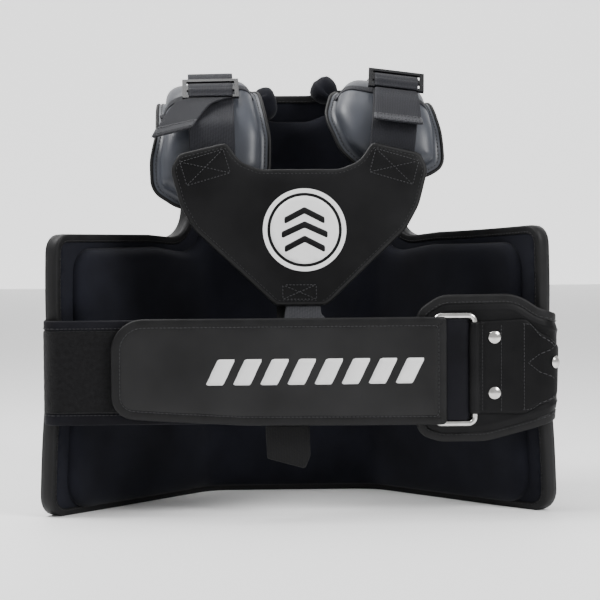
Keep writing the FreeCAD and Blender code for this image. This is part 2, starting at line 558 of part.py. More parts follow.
# the tab folds back round the ring's right bar and is riveted through the patch
tab_y = f"patch_y - ({patch_top})"
tab_strip = ribbon("TabStrip", "", "ring_right", "patch_y", patch_top, f"{patch_top} + tab_thick", "tab_low - 5",
                   "tab_high + 5")
tab_corners = [("ring_right", "tab_low"), ("tab_slant_x", "tab_low"), ("tab_end_x", "tab_end_low"),
               ("tab_end_x", "tab_end_high"), ("tab_slant_x", "tab_high"), ("ring_right", "tab_high")]
tab_view = slab("TabView", "XZ_Plane", tab_corners, "-60", "60 + tab_end_y")
tab = mix("Part::Common", "Tab", tab_strip, tab_view)
tab_loop = doc.addObject("Part::Cylinder", "TabLoop")
tab_loop.setExpression("Radius", bound("loop_r"))
tab_loop.setExpression("Height", bound("tab_high - tab_low"))
place(tab_loop, ("ring_right", "ring_y", "tab_low"))
tab_bore = doc.addObject("Part::Cylinder", "TabBore")
tab_bore.setExpression("Radius", bound("ring_wire + 0.15"))
tab_bore.setExpression("Height", bound("tab_high - tab_low + 20"))
place(tab_bore, ("ring_right", "ring_y", "tab_low - 10"))
behind = box("TabBehind", "ring_right - 20", tab_y, "0", "40", "40", "300")
keep("ring_tab", mix("Part::Cut", "TabCut", mix("Part::Fuse", "TabFuse", tab, tab_loop), tab_bore, behind))


def back_disc(name, radius, rise, x, z, front):
    """A disc on the back, whose outer face is `rise` proud of `front`."""
    cylinder = doc.addObject("Part::Cylinder", name)
    cylinder.setExpression("Radius", bound(radius))
    cylinder.setExpression("Height", bound(rise))
    return place(cylinder, (x, front, z), ((1, 0, 0), "90"))


RIVETS = (("rivet_x", "rivet_high"), ("rivet_x", "rivet_low"))
heads = [back_disc(f"RivetHead{k}", "rivet_r", "rivet_rise", x, z, f"{tab_y} - tab_thick - washer_thick")
         for k, (x, z) in enumerate(RIVETS)]
washers = [back_disc(f"RivetWasher{k}", "rivet_r + 1", "washer_thick", x, z, f"{tab_y} - tab_thick")
           for k, (x, z) in enumerate(RIVETS)]


def at_tip(name, part, out):
    """Turns a disc to the slanted run at the wing's tip, `out` from the patch's inner face."""
    turned_part = doc.addObject("Part::Compound", name)
    turned_part.Links = [part]
    spot = (f"tip_x + tip_run / 2 * cos(tip_turn) + ({out}) * sin(tip_turn)",
            f"patch_y + tip_run / 2 * sin(tip_turn) - ({out}) * cos(tip_turn)", "rivet_side_z")
    return place(turned_part, spot, ((0, 0, 1), "tip_turn"))


tab_out = f"{patch_top} + tab_thick"
washers.append(at_tip("SideWasher", back_disc("SideWasherDisc", "rivet_r + 1", "washer_thick", "0", "0", "0"), tab_out))
heads.append(at_tip("SideRivet", back_disc("SideRivetDisc", "rivet_r", "rivet_rise", "0", "0", "0"),
                    f"{tab_out} + washer_thick"))
for label, group in (("rivets", heads), ("rivet_washers", washers)):
    row = doc.addObject("Part::Compound", label.title().replace("_", ""))
    row.Links = group
    keep(label, row)

# --- lower webbing ----------------------------------------------------------------------------
LOWER_LEFT, LOWER_RIGHT = "lower_x - lower_w / 2", "lower_x + lower_w / 2"
# from behind the yoke's tip it comes forwards to hang behind the belt
lower_runs = [("-90 + yoke_lean", "lower_lap"), ("lower_slant", "lower_step")]
lower_drop = "lower_lap * sin(-90 + yoke_lean) + lower_step * sin(lower_slant)"
lower_runs.append(("-90", f"lower_top - lower_hinge - lower_gap + {lower_drop}"))
keep("lower_webbing", bent("LowerWebbing", "YZ_Plane", ("lower_top_y", "lower_top"), lower_runs, "0",
                           "web_thick", LOWER_LEFT, "lower_w", "4"))
tail = slab("LowerTail", "XZ_Plane", rectangle(LOWER_LEFT, "lower_end", LOWER_RIGHT, "lower_hinge"), "lower_y",
            "web_thick")
hem = slab("LowerHem", "XZ_Plane", rectangle(LOWER_LEFT, "lower_end", LOWER_RIGHT, "lower_end + hem_long"),
           "lower_y - web_thick", "web_thick")
fold = fold_roll("LowerFold", "lower_y + web_thick / 2", "lower_hinge", "lower_w", "lower_x")
keep("lower_webbing_tail", mix("Part::Fuse", "LowerTailHem", tail, hem, fold))


# --- write --------------------------------------------------------------------------------------
def write_parts():
    doc.recompute()
    for item in doc.Objects:
        if {"Invalid", "Error"} & set(item.State):
            raise RuntimeError(f"{item.Name} after {[o.Name for o in item.OutList]} failed: {item.State}")
    os.makedirs("parts", exist_ok=True)
    for piece in exports:
        shape = piece.Shape
        if shape.isNull() or not shape.isValid() or shape.Volume <= 0 or not shape.Solids:
            raise RuntimeError(f"{piece.Label} has no valid solid")
    for piece in exports:
        piece.Shape.exportStep(f"parts/{piece.Label}.step")
        b = piece.Shape.BoundBox
        print(f"{piece.Label:24s} solids {len(piece.Shape.Solids)}  volume {piece.Shape.Volume / 1000:8.1f} cm3  "
              f"x {b.XMin:7.1f} {b.XMax:7.1f}  y {b.YMin:7.1f} {b.YMax:7.1f}  z {b.ZMin:7.1f} {b.ZMax:7.1f}")


write_parts()
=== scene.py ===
import math

import bmesh
import bpy
import numpy as np
from mathutils import Euler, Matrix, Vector
from mathutils.geometry import delaunay_2d_cdt


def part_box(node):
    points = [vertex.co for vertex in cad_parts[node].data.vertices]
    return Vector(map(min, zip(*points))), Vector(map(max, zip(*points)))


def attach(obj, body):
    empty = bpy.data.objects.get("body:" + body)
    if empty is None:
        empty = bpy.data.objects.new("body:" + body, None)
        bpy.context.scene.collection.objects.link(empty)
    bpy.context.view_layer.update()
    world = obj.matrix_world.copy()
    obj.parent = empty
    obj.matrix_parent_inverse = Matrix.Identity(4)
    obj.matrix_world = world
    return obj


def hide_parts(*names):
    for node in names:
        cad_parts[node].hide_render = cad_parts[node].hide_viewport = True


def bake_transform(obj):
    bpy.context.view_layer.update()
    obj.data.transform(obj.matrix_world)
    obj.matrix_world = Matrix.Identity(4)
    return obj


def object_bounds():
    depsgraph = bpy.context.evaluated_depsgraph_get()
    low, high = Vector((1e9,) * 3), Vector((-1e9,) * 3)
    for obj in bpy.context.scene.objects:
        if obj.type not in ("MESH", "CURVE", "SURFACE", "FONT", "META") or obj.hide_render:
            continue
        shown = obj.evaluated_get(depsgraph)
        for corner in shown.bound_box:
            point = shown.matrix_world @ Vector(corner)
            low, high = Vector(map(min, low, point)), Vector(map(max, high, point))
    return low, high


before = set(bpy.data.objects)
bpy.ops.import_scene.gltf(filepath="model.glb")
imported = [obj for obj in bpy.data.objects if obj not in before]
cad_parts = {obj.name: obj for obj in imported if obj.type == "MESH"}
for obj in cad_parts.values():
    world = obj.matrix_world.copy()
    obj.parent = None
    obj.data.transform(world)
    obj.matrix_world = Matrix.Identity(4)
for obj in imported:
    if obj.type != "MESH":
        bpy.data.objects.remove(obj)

cad_box = [list(corner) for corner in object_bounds()]

# Shapes are worked out in millimetres in the layout that part.py uses, whose Y is 0 at the belt,
# and `shift` moves them into the frame.
MM = 0.001
ring_box, lining_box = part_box("steel_ring"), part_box("inner_lining")
RING_MID, INNER_Y, SKIN = 160.5, 200.0, 1.5
SHIFT = np.array([(ring_box[0][0] + ring_box[1][0]) / 2 / MM - RING_MID,
                  lining_box[1][1] / MM - INNER_Y - SKIN, 0.0])


def shift(points):
    """Layout millimetres to frame metres."""
    return (np.asarray(points, float) + SHIFT) * MM


# ------------------------------------------------------------------------------ outlines
def rounded_outline(corners, step=4.0):
    """A closed outline from (x, y, radius) corners, anticlockwise, with points about `step` apart."""
    points = []
    count = len(corners)
    for i, (x, y, radius) in enumerate(corners):
        here = np.array([x, y], float)
        back = np.array(corners[i - 1][:2], float) - here
        ahead = np.array(corners[(i + 1) % count][:2], float) - here
        a, b = back / np.linalg.norm(back), ahead / np.linalg.norm(ahead)
        half = math.acos(np.clip(a @ b, -1, 1)) / 2
        if radius <= 0 or half > 1.55:
            points.append(here)
            continue
        reach = min(radius / math.tan(half), 0.48 * np.linalg.norm(back), 0.48 * np.linalg.norm(ahead))
        radius = reach * math.tan(half)
        centre = here + (a + b) / np.linalg.norm(a + b) * radius / math.sin(half)
        start, end = here + a * reach - centre, here + b * reach - centre
        sweep = math.atan2(start[0] * end[1] - start[1] * end[0], start @ end)
        parts = max(3, int(abs(sweep) * radius / step), int(abs(sweep) / 0.25))
        for k in range(parts + 1):
            t = sweep * k / parts
            points.append(centre + [start[0] * math.cos(t) - start[1] * math.sin(t),
                                    start[0] * math.sin(t) + start[1] * math.cos(t)])
    return resample(np.array(points), step, closed=True)


def box_outline(low_u, low_v, high_u, high_v, radius, step=4.0):
    return rounded_outline([(low_u, low_v, radius), (high_u, low_v, radius), (high_u, high_v, radius),
                            (low_u, high_v, radius)], step)


def resample(points, step, closed=False):
    """Even points along a polyline, keeping its length."""
    path = np.vstack([points, points[:1]]) if closed else np.asarray(points, float)
    along = np.concatenate([[0], np.cumsum(np.linalg.norm(np.diff(path, axis=0), axis=1))])
    keep = np.concatenate([[True], np.diff(along) > 1e-9])
    path, along = path[keep], along[keep]
    count = max(8, int(round(along[-1] / step)))
    at = np.linspace(0, along[-1], count + 1)
    if closed:
        at = at[:-1]
    return np.stack([np.interp(at, along, path[:, k]) for k in range(path.shape[1])], 1)


def inward(outline):
    """Unit normals that point into an anticlockwise outline."""
    tangent = np.roll(outline, -1, 0) - np.roll(outline, 1, 0)
    tangent /= np.linalg.norm(tangent, axis=1)[:, None]
    return np.stack([-tangent[:, 1], tangent[:, 0]], 1)


def inset(outline, by):
    """The outline drawn in by a small distance, smoothed at tight corners."""
    moved = outline + inward(outline) * by
    if by > 0:
        keep = edge_distance(moved, outline) > by * 0.97
        moved = moved[keep]
    return moved


def edge_distance(points, outline):
    """How far each point is from the outline."""
    a, b = outline, np.roll(outline, -1, 0)
    ab = b - a
    size = (ab ** 2).sum(1)
    out = np.full(len(points), 1e9)
    for low in range(0, len(points), 4000):
        p = points[low:low + 4000]
        t = np.clip(((p[:, None] - a) * ab).sum(2) / size, 0, 1)
        out[low:low + 4000] = np.sqrt((((a + t[..., None] * ab) - p[:, None]) ** 2).sum(2).min(1))
    return out


def away_from(u, v, outline):
    return edge_distance(np.stack([u, v], 1), outline)


def inside(points, outline):
    """Which points lie inside the outline."""
    a, b = outline, np.roll(outline, -1, 0)
    x, y = points[:, 0:1], points[:, 1:2]
    crosses = (a[:, 1] > y) != (b[:, 1] > y)
    with np.errstate(divide="ignore", invalid="ignore"):
        at = (b[:, 0] - a[:, 0]) * (y - a[:, 1]) / (b[:, 1] - a[:, 1]) + a[:, 0]
    return (crosses & (x < at)).sum(1) % 2 == 1


def tiled(outline, step, rims=()):
    """Points and triangles that fill an outline, with rows of points at `rims` from its edge."""
    low, high = outline.min(0), outline.max(0)
    rows = []
    for j, y in enumerate(np.arange(low[1], high[1], step * 0.866)):
        xs = np.arange(low[0] + (j % 2) * step / 2, high[0], step)
        rows.append(np.stack([xs, np.full(len(xs), y)], 1))
    grid = np.vstack(rows)
    grid = grid[inside(grid, outline)]
    gap = (max(rims) if rims else 0) + 0.55 * step
    grid = grid[edge_distance(grid, outline) > gap]
    layers = [outline]
    for rim in rims:
        moved = outline + inward(outline) * rim
        layers.append(moved[edge_distance(moved, outline) > rim * 0.96])
    points = np.vstack(layers + [grid])
    count = len(outline)
    edges = [(i, (i + 1) % count) for i in range(count)]
    verts, _, faces, *_ = delaunay_2d_cdt([Vector(p) for p in points], edges, [], 1, 1e-4)
    return np.array([tuple(v) for v in verts]), [tuple(f) for f in faces], count


# -------------------------------------------------------------------------------- meshes
def mesh_object(name, points, faces, flat=None, smooth=True):
    """An object from layout points in millimetres, with its cloth coordinates kept as `flat`."""
    mesh = bpy.data.meshes.new(name)
    mesh.from_pydata(shift(points).tolist(), [], [tuple(int(i) for i in f) for f in faces])
    mesh.validate()
    layer = mesh.attributes.new("flat", "FLOAT_VECTOR", "POINT")
    values = np.asarray(points if flat is None else flat, float) * MM
    layer.data.foreach_set("vector", values.astype(np.float32).ravel())
    mesh.polygons.foreach_set("use_smooth", [smooth] * len(mesh.polygons))
    piece = bpy.data.objects.new(name, mesh)
    bpy.context.scene.collection.objects.link(piece)
    return piece


def ring_faces(rings, around):
    """The quads between each closed ring of points and the next."""
    return [(i * around + k, i * around + (k + 1) % around, (i + 1) * around + (k + 1) % around,
             (i + 1) * around + k) for i in range(rings - 1) for k in range(around)]


def crown(away, reach, power=2.0):
    """0 at an edge, rising to 1 at `reach` from it in a rounded shoulder."""
    t = 1 - np.clip(away / reach, 0, 1)
    return (1 - t ** power) ** (1 / power)


def slab(name, outline, place, top, bottom, step=6.0, rims=(0.6, 1.8, 4.0)):
    """A closed padded sheet. `top` and `bottom` give heights from (u, v, distance to the edge)."""
    spots, faces, _ = tiled(outline, step, rims)
    away = edge_distance(spots, outline)
    u, v = spots[:, 0], spots[:, 1]
    up, down = top(u, v, away), bottom(u, v, away)
    count = len(spots)
    points = np.vstack([place(u, v, up), place(u, v, down)])
    flat = np.vstack([np.stack([u, v, up], 1), np.stack([u, v, down], 1)])
    solid = list(faces) + [tuple(i + count for i in reversed(f)) for f in faces]
    edges = {}
    for f in faces:
        for i in range(len(f)):
            edges[(f[i], f[(i + 1) % len(f)])] = True
    for (a, b) in list(edges):
        if (b, a) not in edges:
            solid.append((b, a, a + count, b + count))
    piece = mesh_object(name, points, solid, flat)
    return outward(piece)


def outward(piece):
    """Makes every face of a closed mesh look outwards."""
    work = bmesh.new()
    work.from_mesh(piece.data)
    bmesh.ops.recalc_face_normals(work, faces=work.faces)
    work.to_mesh(piece.data)
    work.free()
    return piece


def swept(name, path, place, section):
    """A closed section, given as (inward distance, height) pairs, swept along a flat path."""
    normal = inward(path)
    count, around = len(path), len(section)
    length = np.concatenate([[0], np.cumsum(np.linalg.norm(np.diff(path, axis=0), axis=1))])
    points, flat = [], []
    for k, (deep, high) in enumerate(section):
        deep = deep(length) if callable(deep) else np.full(count, float(deep))
        high = high(length) if callable(high) else np.full(count, float(high))
        spot = path + normal * deep[:, None]
        points.append(place(spot[:, 0], spot[:, 1], high))
        flat.append(np.stack([length, np.full(count, k * 2.0), np.zeros(count)], 1))
    points = np.stack(points, 1).reshape(-1, 3)
    flat = np.stack(flat, 1).reshape(-1, 3)
    faces = []
    for i in range(count):
        j = (i + 1) % count
        for k in range(around):
            m = (k + 1) % around
            faces.append((i * around + k, j * around + k, j * around + m, i * around + m))
    return outward(mesh_object(name, points, faces, flat))


def tape_section(width, low, high, thick):
    """A tape folded round an edge that lies between two heights: (inward distance, height) pairs."""
    bulge = thick * 0.5
    return [(width, high), (width, high + thick * 0.6), (width - 1.0, high + thick), (1.0, high + thick),
            (-0.6, high + bulge), (-1.0, high * 0.6 + low * 0.4), (-1.0, low * 0.6 + high * 0.4),
            (-0.6, low - bulge), (1.0, low - thick), (width - 1.0, low - thick),
            (width, low - thick * 0.6), (width, low), (0.2, low), (0.2, high)]


THREAD_HALF = 0.45


def stitches(name, path, place, height, length=3.0, gap=1.2, closed=False):
    """A row of thread stitches lying on a surface along a flat path."""
    pitch = length + gap
    line = np.vstack([path, path[:1]]) if closed else path
    along = np.concatenate([[0], np.cumsum(np.linalg.norm(np.diff(line, axis=0), axis=1))])
    count = int(along[-1] / pitch)
    verts, faces, flat = [], [], []
    profile = [(0.0, 0.25, -0.35), (0.18, 0.9, 0.3), (0.5, 1.0, 0.62), (0.82, 0.9, 0.3), (1.0, 0.25, -0.35)]
    for i in range(count):
        start = (i + 0.15) * pitch
        for t, fat, rise in profile:
            at = start + t * length
            u, v = np.interp(at, along, line[:, 0]), np.interp(at, along, line[:, 1])
            du = np.interp(at + 0.5, along, line[:, 0]) - np.interp(at - 0.5, along, line[:, 0])
            dv = np.interp(at + 0.5, along, line[:, 1]) - np.interp(at - 0.5, along, line[:, 1])
            size = math.hypot(du, dv) or 1.0
            nu, nv = -dv / size, du / size
            level = height(np.array([u]), np.array([v]))[0] if callable(height) else height
            for k in range(5):
                angle = math.tau * k / 5
                side = math.cos(angle) * fat * THREAD_HALF
                high = level + rise * THREAD_HALF + math.sin(angle) * fat * THREAD_HALF
                verts.append((u + nu * side, v + nv * side, high))
                flat.append((at, side, i * 1.7))
        base = i * 25
        for ring in range(4):
            for k in range(5):
                m = (k + 1) % 5
                faces.append((base + ring * 5 + k, base + ring * 5 + m,
                              base + ring * 5 + 5 + m, base + ring * 5 + 5 + k))
        faces.append(tuple(base + k for k in range(4, -1, -1)))
        faces.append(tuple(base + 20 + k for k in range(5)))
    verts = np.array(verts)
    points = place(verts[:, 0], verts[:, 1], verts[:, 2])
    return outward(mesh_object(name, points, faces, flat))


# ------------------------------------------------------------------------------ materials
def material(name, color, rough, metallic=0.0, sheen=0.0, coat=0.0, spec=0.5):
    """A principled material, with its node tree's handles."""
    mat = bpy.data.materials.new(name)
    mat.use_nodes = True
    tree = mat.node_tree
    shader = tree.nodes["Principled BSDF"]
    shader.inputs["Base Color"].default_value = (*color, 1)
    shader.inputs["Roughness"].default_value = rough
    shader.inputs["Metallic"].default_value = metallic
    shader.inputs["Specular IOR Level"].default_value = spec
    shader.inputs["Sheen Weight"].default_value = sheen
    shader.inputs["Sheen Roughness"].default_value = 0.45
    shader.inputs["Coat Weight"].default_value = coat
    shader.inputs["Coat Roughness"].default_value = 0.3
    return mat, tree, shader


def node(tree, kind, inputs=(), **fields):
    made = tree.nodes.new("ShaderNode" + kind)
    for key, value in fields.items():
        setattr(made, key, value)
    for key, value in dict(inputs).items():
        if isinstance(value, bpy.types.NodeSocket):
            tree.links.new(value, made.inputs[key])
        else:
            made.inputs[key].default_value = value
    return made


def math_node(tree, operation, a, b=0.0):
    return node(tree, "Math", {0: a, 1: b}, operation=operation).outputs[0]


def add(tree, a, b):
    return math_node(tree, "ADD", a, b)


def mul(tree, a, b):
    return math_node(tree, "MULTIPLY", a, b)


def sine(tree, value):
    return math_node(tree, "SINE", value)


def cloth_space(tree):
    """Coordinates that lie in the cloth."""
    return node(tree, "Attribute", attribute_name="flat").outputs["Vector"]


def noise_at(tree, space, scale, detail=3.0, rough=0.55, distortion=0.0):
    return node(tree, "TexNoise", {"Vector": space, "Scale": scale, "Detail": detail, "Roughness": rough,
                                   "Distortion": distortion}).outputs["Fac"]


def ramp(tree, value, low, high, out_low, out_high):
    return node(tree, "MapRange", {"Value": value, "From Min": low, "From Max": high, "To Min": out_low,
                                   "To Max": out_high}).outputs["Result"]


def scaled(color, by):
    return tuple(min(1.0, c * by) for c in color)


def tint(tree, shader, value, dark, light):
    """The base colour between two shades, by a value from 0 to 1."""
    mixed = node(tree, "Mix", {"Factor": value, "A": (*dark, 1), "B": (*light, 1)}, data_type="RGBA")
    tree.links.new(mixed.outputs["Result"], shader.inputs["Base Color"])


def bump(tree, shader, height, strength, distance, onto=None):
    made = node(tree, "Bump", {"Height": height, "Strength": strength, "Distance": distance})
    if onto is not None:
        tree.links.new(onto, made.inputs["Normal"])
    tree.links.new(made.outputs["Normal"], shader.inputs["Normal"])
    return made.outputs["Normal"]


def leather(name, color, rough=0.48, grain=900.0, depth=0.25, coat=0.0, spec=0.5):
    """Grained PU: pebbles, fine pores, broad creases and slightly polished high spots."""
    mat, tree, shader = material(name, color, rough, coat=coat, spec=spec)
    space = cloth_space(tree)
    pebble = node(tree, "TexVoronoi", {"Vector": space, "Scale": grain, "Randomness": 0.9},
                  feature="DISTANCE_TO_EDGE").outputs["Distance"]
    pebble = ramp(tree, pebble, 0.0, 0.22, 0.0, 1.0)
    pore = noise_at(tree, space, grain * 2.3, 2.0)
    crease = noise_at(tree, space, 26.0, 4.0, 0.6, 0.6)
    cloud = noise_at(tree, space, 9.0, 3.0)
    high = add(tree, mul(tree, pebble, 0.75), mul(tree, pore, 0.25))
    first = bump(tree, shader, high, depth, 0.00025)
    bump(tree, shader, crease, 0.12, 0.0012, first)
    light = tuple(c * 1.72 + 0.004 for c in color)
    dark = scaled(color, 0.72)
    tint(tree, shader, ramp(tree, cloud, 0.32, 0.7, 0.0, 1.0), dark, light)
    shine = add(tree, mul(tree, crease, 0.14), mul(tree, pebble, -0.06))
    tree.links.new(add(tree, shine, rough - 0.05), shader.inputs["Roughness"])
    return mat


def knit(name, color, rough=0.78, pitch=0.0009, sheen=0.08):
    """Fine warp knit over foam: offset rows of loops, faint streaks and lint."""
    mat, tree, shader = material(name, color, rough, sheen=sheen, spec=0.08)
    space = cloth_space(tree)
    split = node(tree, "SeparateXYZ", {0: space})
    across = sine(tree, mul(tree, split.outputs[0], math.tau / pitch))
    along = sine(tree, mul(tree, split.outputs[1], math.tau / (pitch * 0.7)))
    loops = mul(tree, across, along)
    lint = noise_at(tree, space, 1600.0, 3.0)
    cloud = noise_at(tree, space, 14.0, 4.0)
    first = bump(tree, shader, loops, 0.3, 0.00018)
    bump(tree, shader, lint, 0.25, 0.0003, first)
    mixed = add(tree, mul(tree, cloud, 0.7), mul(tree, lint, 0.3))
    tint(tree, shader, ramp(tree, mixed, 0.35, 0.68, 0.0, 1.0), scaled(color, 0.6),
         tuple(c * 1.6 + 0.0015 for c in color))
    return mat


def webbing(name, color, rough=0.6, pitch=0.0017):
    """Woven strap: ribs across the strap, twill offset between the warp ends, a few worn fibres."""
    mat, tree, shader = material(name, color, rough, sheen=0.05, spec=0.22)
    space = cloth_space(tree)
    split = node(tree, "SeparateXYZ", {0: space})
    warp = mul(tree, split.outputs[0], math.tau / pitch)
    weft = mul(tree, split.outputs[1], math.tau / (pitch * 0.8))
    ends = math_node(tree, "ABSOLUTE", sine(tree, mul(tree, warp, 0.5)))
    end = math_node(tree, "ROUND", math_node(tree, "DIVIDE", warp, math.tau))
    turn = add(tree, weft, mul(tree, end, math.pi * 0.5))
    picks = add(tree, mul(tree, sine(tree, turn), 0.5), 0.5)
    weave = mul(tree, ends, picks)
    fibre = noise_at(tree, space, 2600.0, 3.0)
    cloud = noise_at(tree, space, 30.0, 3.0)
    first = bump(tree, shader, weave, 0.7, 0.0005)
    bump(tree, shader, fibre, 0.25, 0.0002, first)
    mixed = add(tree, mul(tree, weave, 0.6), mul(tree, cloud, 0.4))
    tint(tree, shader, ramp(tree, mixed, 0.15, 0.8, 0.0, 1.0), scaled(color, 0.45),
         scaled(color, 1.5))
    return mat


def fuzz(name, color):
    """Soft loop pile of a hook-and-loop panel."""
    mat, tree, shader = material(name, color, 0.9, sheen=0.12, spec=0.1)
    space = cloth_space(tree)
    pile = noise_at(tree, space, 1100.0, 5.0, 0.7, 1.5)
    clump = noise_at(tree, space, 240.0, 3.0)
    first = bump(tree, shader, pile, 0.9, 0.0009)
    bump(tree, shader, clump, 0.4, 0.001, first)
    mixed = add(tree, mul(tree, pile, 0.6), mul(tree, clump, 0.4))
    tint(tree, shader, ramp(tree, mixed, 0.35, 0.65, 0.0, 1.0), scaled(color, 0.4),
         scaled(color, 1.8))
    return mat


def hooks(name, color):
    """Stiff little hooks in rows."""
    mat, tree, shader = material(name, color, 0.5)
    space = cloth_space(tree)
    dots = node(tree, "TexVoronoi", {"Vector": space, "Scale": 700.0, "Randomness": 0.25}).outputs["Distance"]
    bump(tree, shader, ramp(tree, dots, 0.1, 0.5, 1.0, 0.0), 0.9, 0.0008)
    tint(tree, shader, ramp(tree, dots, 0.1, 0.5, 1.0, 0.0), scaled(color, 0.5), scaled(color, 1.6))
    return mat


def metal(name, color, rough, painted=False):
    """Plated or painted metal: fine scratches, smudges and small dull spots."""
    mat, tree, shader = material(name, color, rough, metallic=0.0 if painted else 1.0)
    space = node(tree, "TexCoord").outputs["Object"]
    stretched = node(tree, "Mapping", {"Vector": space, "Scale": (1.0, 1.0, 0.08)}).outputs[0]
    scratch = noise_at(tree, stretched, 3000.0, 2.0)
    smudge = noise_at(tree, space, 90.0, 4.0)
    tree.links.new(add(tree, mul(tree, smudge, 0.11), rough - 0.06),
                   shader.inputs["Roughness"])
    bump(tree, shader, scratch, 0.08, 0.0001)
    tint(tree, shader, ramp(tree, smudge, 0.3, 0.7, 0.0, 1.0), scaled(color, 0.8), scaled(color, 1.08))
    return mat


def vinyl(name, color):
    """A thin transfer print: slightly glossy, with the grain below showing through."""
    mat, tree, shader = material(name, color, 0.42)
    space = cloth_space(tree)
    pebble = node(tree, "TexVoronoi", {"Vector": space, "Scale": 900.0},
                  feature="DISTANCE_TO_EDGE").outputs["Distance"]
    cloud = noise_at(tree, space, 40.0, 4.0)
    bump(tree, shader, ramp(tree, pebble, 0.0, 0.22, 0.0, 1.0), 0.15, 0.0002)
    tint(tree, shader, ramp(tree, cloud, 0.3, 0.7, 0.0, 1.0), scaled(color, 0.92), color)
    return mat


def thread(name, color):
    mat, tree, shader = material(name, color, 0.6, sheen=0.1, spec=0.3)
    space = cloth_space(tree)
    twist = node(tree, "TexWave", {"Vector": space, "Scale": 1200.0, "Distortion": 1.0}).outputs["Fac"]
    bump(tree, shader, twist, 0.4, 0.0001)
    tint(tree, shader, twist, scaled(color, 0.7), color)
    return mat


def binding_tape(name, color, rough):
    """Smooth folded PU tape with fine ribs and pulled puckers at the seam."""
    mat, tree, shader = material(name, color, rough, spec=0.22)
    space = cloth_space(tree)
    split = node(tree, "SeparateXYZ", {0: space})
    rib = sine(tree, mul(tree, split.outputs[0], math.tau / 0.0009))
    cloud = noise_at(tree, space, 60.0, 3.0)
    pucker = noise_at(tree, space, 260.0, 2.0)
    first = bump(tree, shader, rib, 0.2, 0.00012)
    bump(tree, shader, pucker, 0.25, 0.0006, first)
    tint(tree, shader, ramp(tree, cloud, 0.3, 0.7, 0.0, 1.0), scaled(color, 0.7), scaled(color, 1.5))
    tree.links.new(ramp(tree, cloud, 0.3, 0.7, rough - 0.08, rough + 0.1), shader.inputs["Roughness"])
    return mat


LINING = knit("LiningKnit", (0.0056, 0.006, 0.0095))
BELT_CLOTH = knit("BeltCloth", (0.006, 0.006, 0.007), rough=0.7, pitch=0.0012)
ELASTIC = knit("BeltElastic", (0.0045, 0.0045, 0.0065), rough=0.6, pitch=0.0014, sheen=0.05)
PU = leather("GrainedPU", (0.0044, 0.0044, 0.0048), spec=0.09)
PU_FLAP = leather("FlapPU", (0.0078, 0.0078, 0.0082), rough=0.52, grain=1100.0, spec=0.22)
PU_MOULDED = leather("MouldedPU", (0.026, 0.029, 0.037), rough=0.43, grain=1300.0, depth=0.16, coat=0.05,
                     spec=0.42)
TAPE = binding_tape("BindingTape", (0.0048, 0.0048, 0.0052), 0.5)
WEBBING = webbing("BlackWebbing", (0.012, 0.0125, 0.017))
LOOP = fuzz("LoopPile", (0.0065, 0.0065, 0.007))
HOOKS = hooks("HookTape", (0.012, 0.012, 0.013))
PRINT = vinyl("WhiteTransfer", (0.80, 0.80, 0.80))
NICKEL = metal("NickelPlate", (0.66, 0.65, 0.63), 0.2)
DARK_METAL = metal("BlackOxide", (0.006, 0.006, 0.007), 0.24, painted=True)
THREAD = thread("DarkThread", (0.016, 0.016, 0.018))
THREAD_GREY = thread("GreyThread", (0.028, 0.028, 0.031))


def paint(name, mat):
    """Gives a CAD node its material."""
    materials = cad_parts[name].data.materials
    materials.clear()
    materials.append(mat)


def finish(piece, mat, slot, body="root", replaces=()):
    """Gives a piece its material and its body; `slot` is not used."""
    piece.data.materials.clear()
    piece.data.materials.append(mat)
    if body:
        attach(piece, body)
    if replaces:
        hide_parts(*replaces)
    return piece


# ----------------------------------------------------------------------------- front body
HALF_FLAT, WING_ANGLE, WING_LEN, BEND_R = 92.0, math.radians(50), 254.0, 45.0
TANGENT = BEND_R * math.tan(WING_ANGLE / 2)
FLAT_U, ARC_U = HALF_FLAT - TANGENT, BEND_R * WING_ANGLE
TIP_U = FLAT_U + ARC_U + WING_LEN - TANGENT
WING_TOP, FLANGE, PAD_LOW, FACE_OUT, COVER_OUT = 293.0, 29.0, 5.5, 13.5, 41.5


def body_at(u, z, out):
    """A point on the body: `u` along its plan from the middle, `out` outwards from its inner face."""
    s = np.abs(u)
    turn = np.clip((s - FLAT_U) / BEND_R, 0, WING_ANGLE)
    wing = np.clip(s - FLAT_U - ARC_U, 0, None)
    x = np.minimum(s, FLAT_U) + (BEND_R + out) * np.sin(turn) + wing * math.cos(WING_ANGLE)
    y = INNER_Y - BEND_R + (BEND_R + out) * np.cos(turn) - wing * math.sin(WING_ANGLE)
    share = wing / (WING_LEN - TANGENT)
    # the wing on the right stands a little taller at its tip
    z = z + np.where(u > 0, 7.0 * np.clip(share, 0, 1.1) ** 2 * np.clip((z - 220) / 70, 0, 1), 0.0)
    # the wings spread a little towards the floor, and the belt draws them in at its height
    x = x + share * (4.5 * (1 - z / 146.0) - 3.5 * np.exp(-((z - 155.0) / 62.0) ** 2))
    return np.stack([np.sign(u) * x, y, z + 0 * u], 1)


def body_inner(u, v, h):
    return body_at(u, v, -h)


def both_sides(right):
    """Corners of a symmetric outline, from those of its right half listed anticlockwise."""
    return list(right) + [(-x, y, r) for x, y, r in reversed(right)]


body_outline = rounded_outline(both_sides([
    (TIP_U, 0, 22), (TIP_U, WING_TOP + 1, 17), (190, WING_TOP - 3, 60), (124, 284, 48), (111, 449, 13),
    (47, 449, 12), (21, 443, 22)]), 5.0)
pad_outline = rounded_outline(both_sides([
    (TIP_U - FLANGE + 6, PAD_LOW, 30), (TIP_U - FLANGE + 2, WING_TOP - 14, 24), (186, WING_TOP - 15, 50),
    (106, 266, 52), (92, 426, 16), (44, 424, 18), (20, 414.5, 30)]), 5.0)

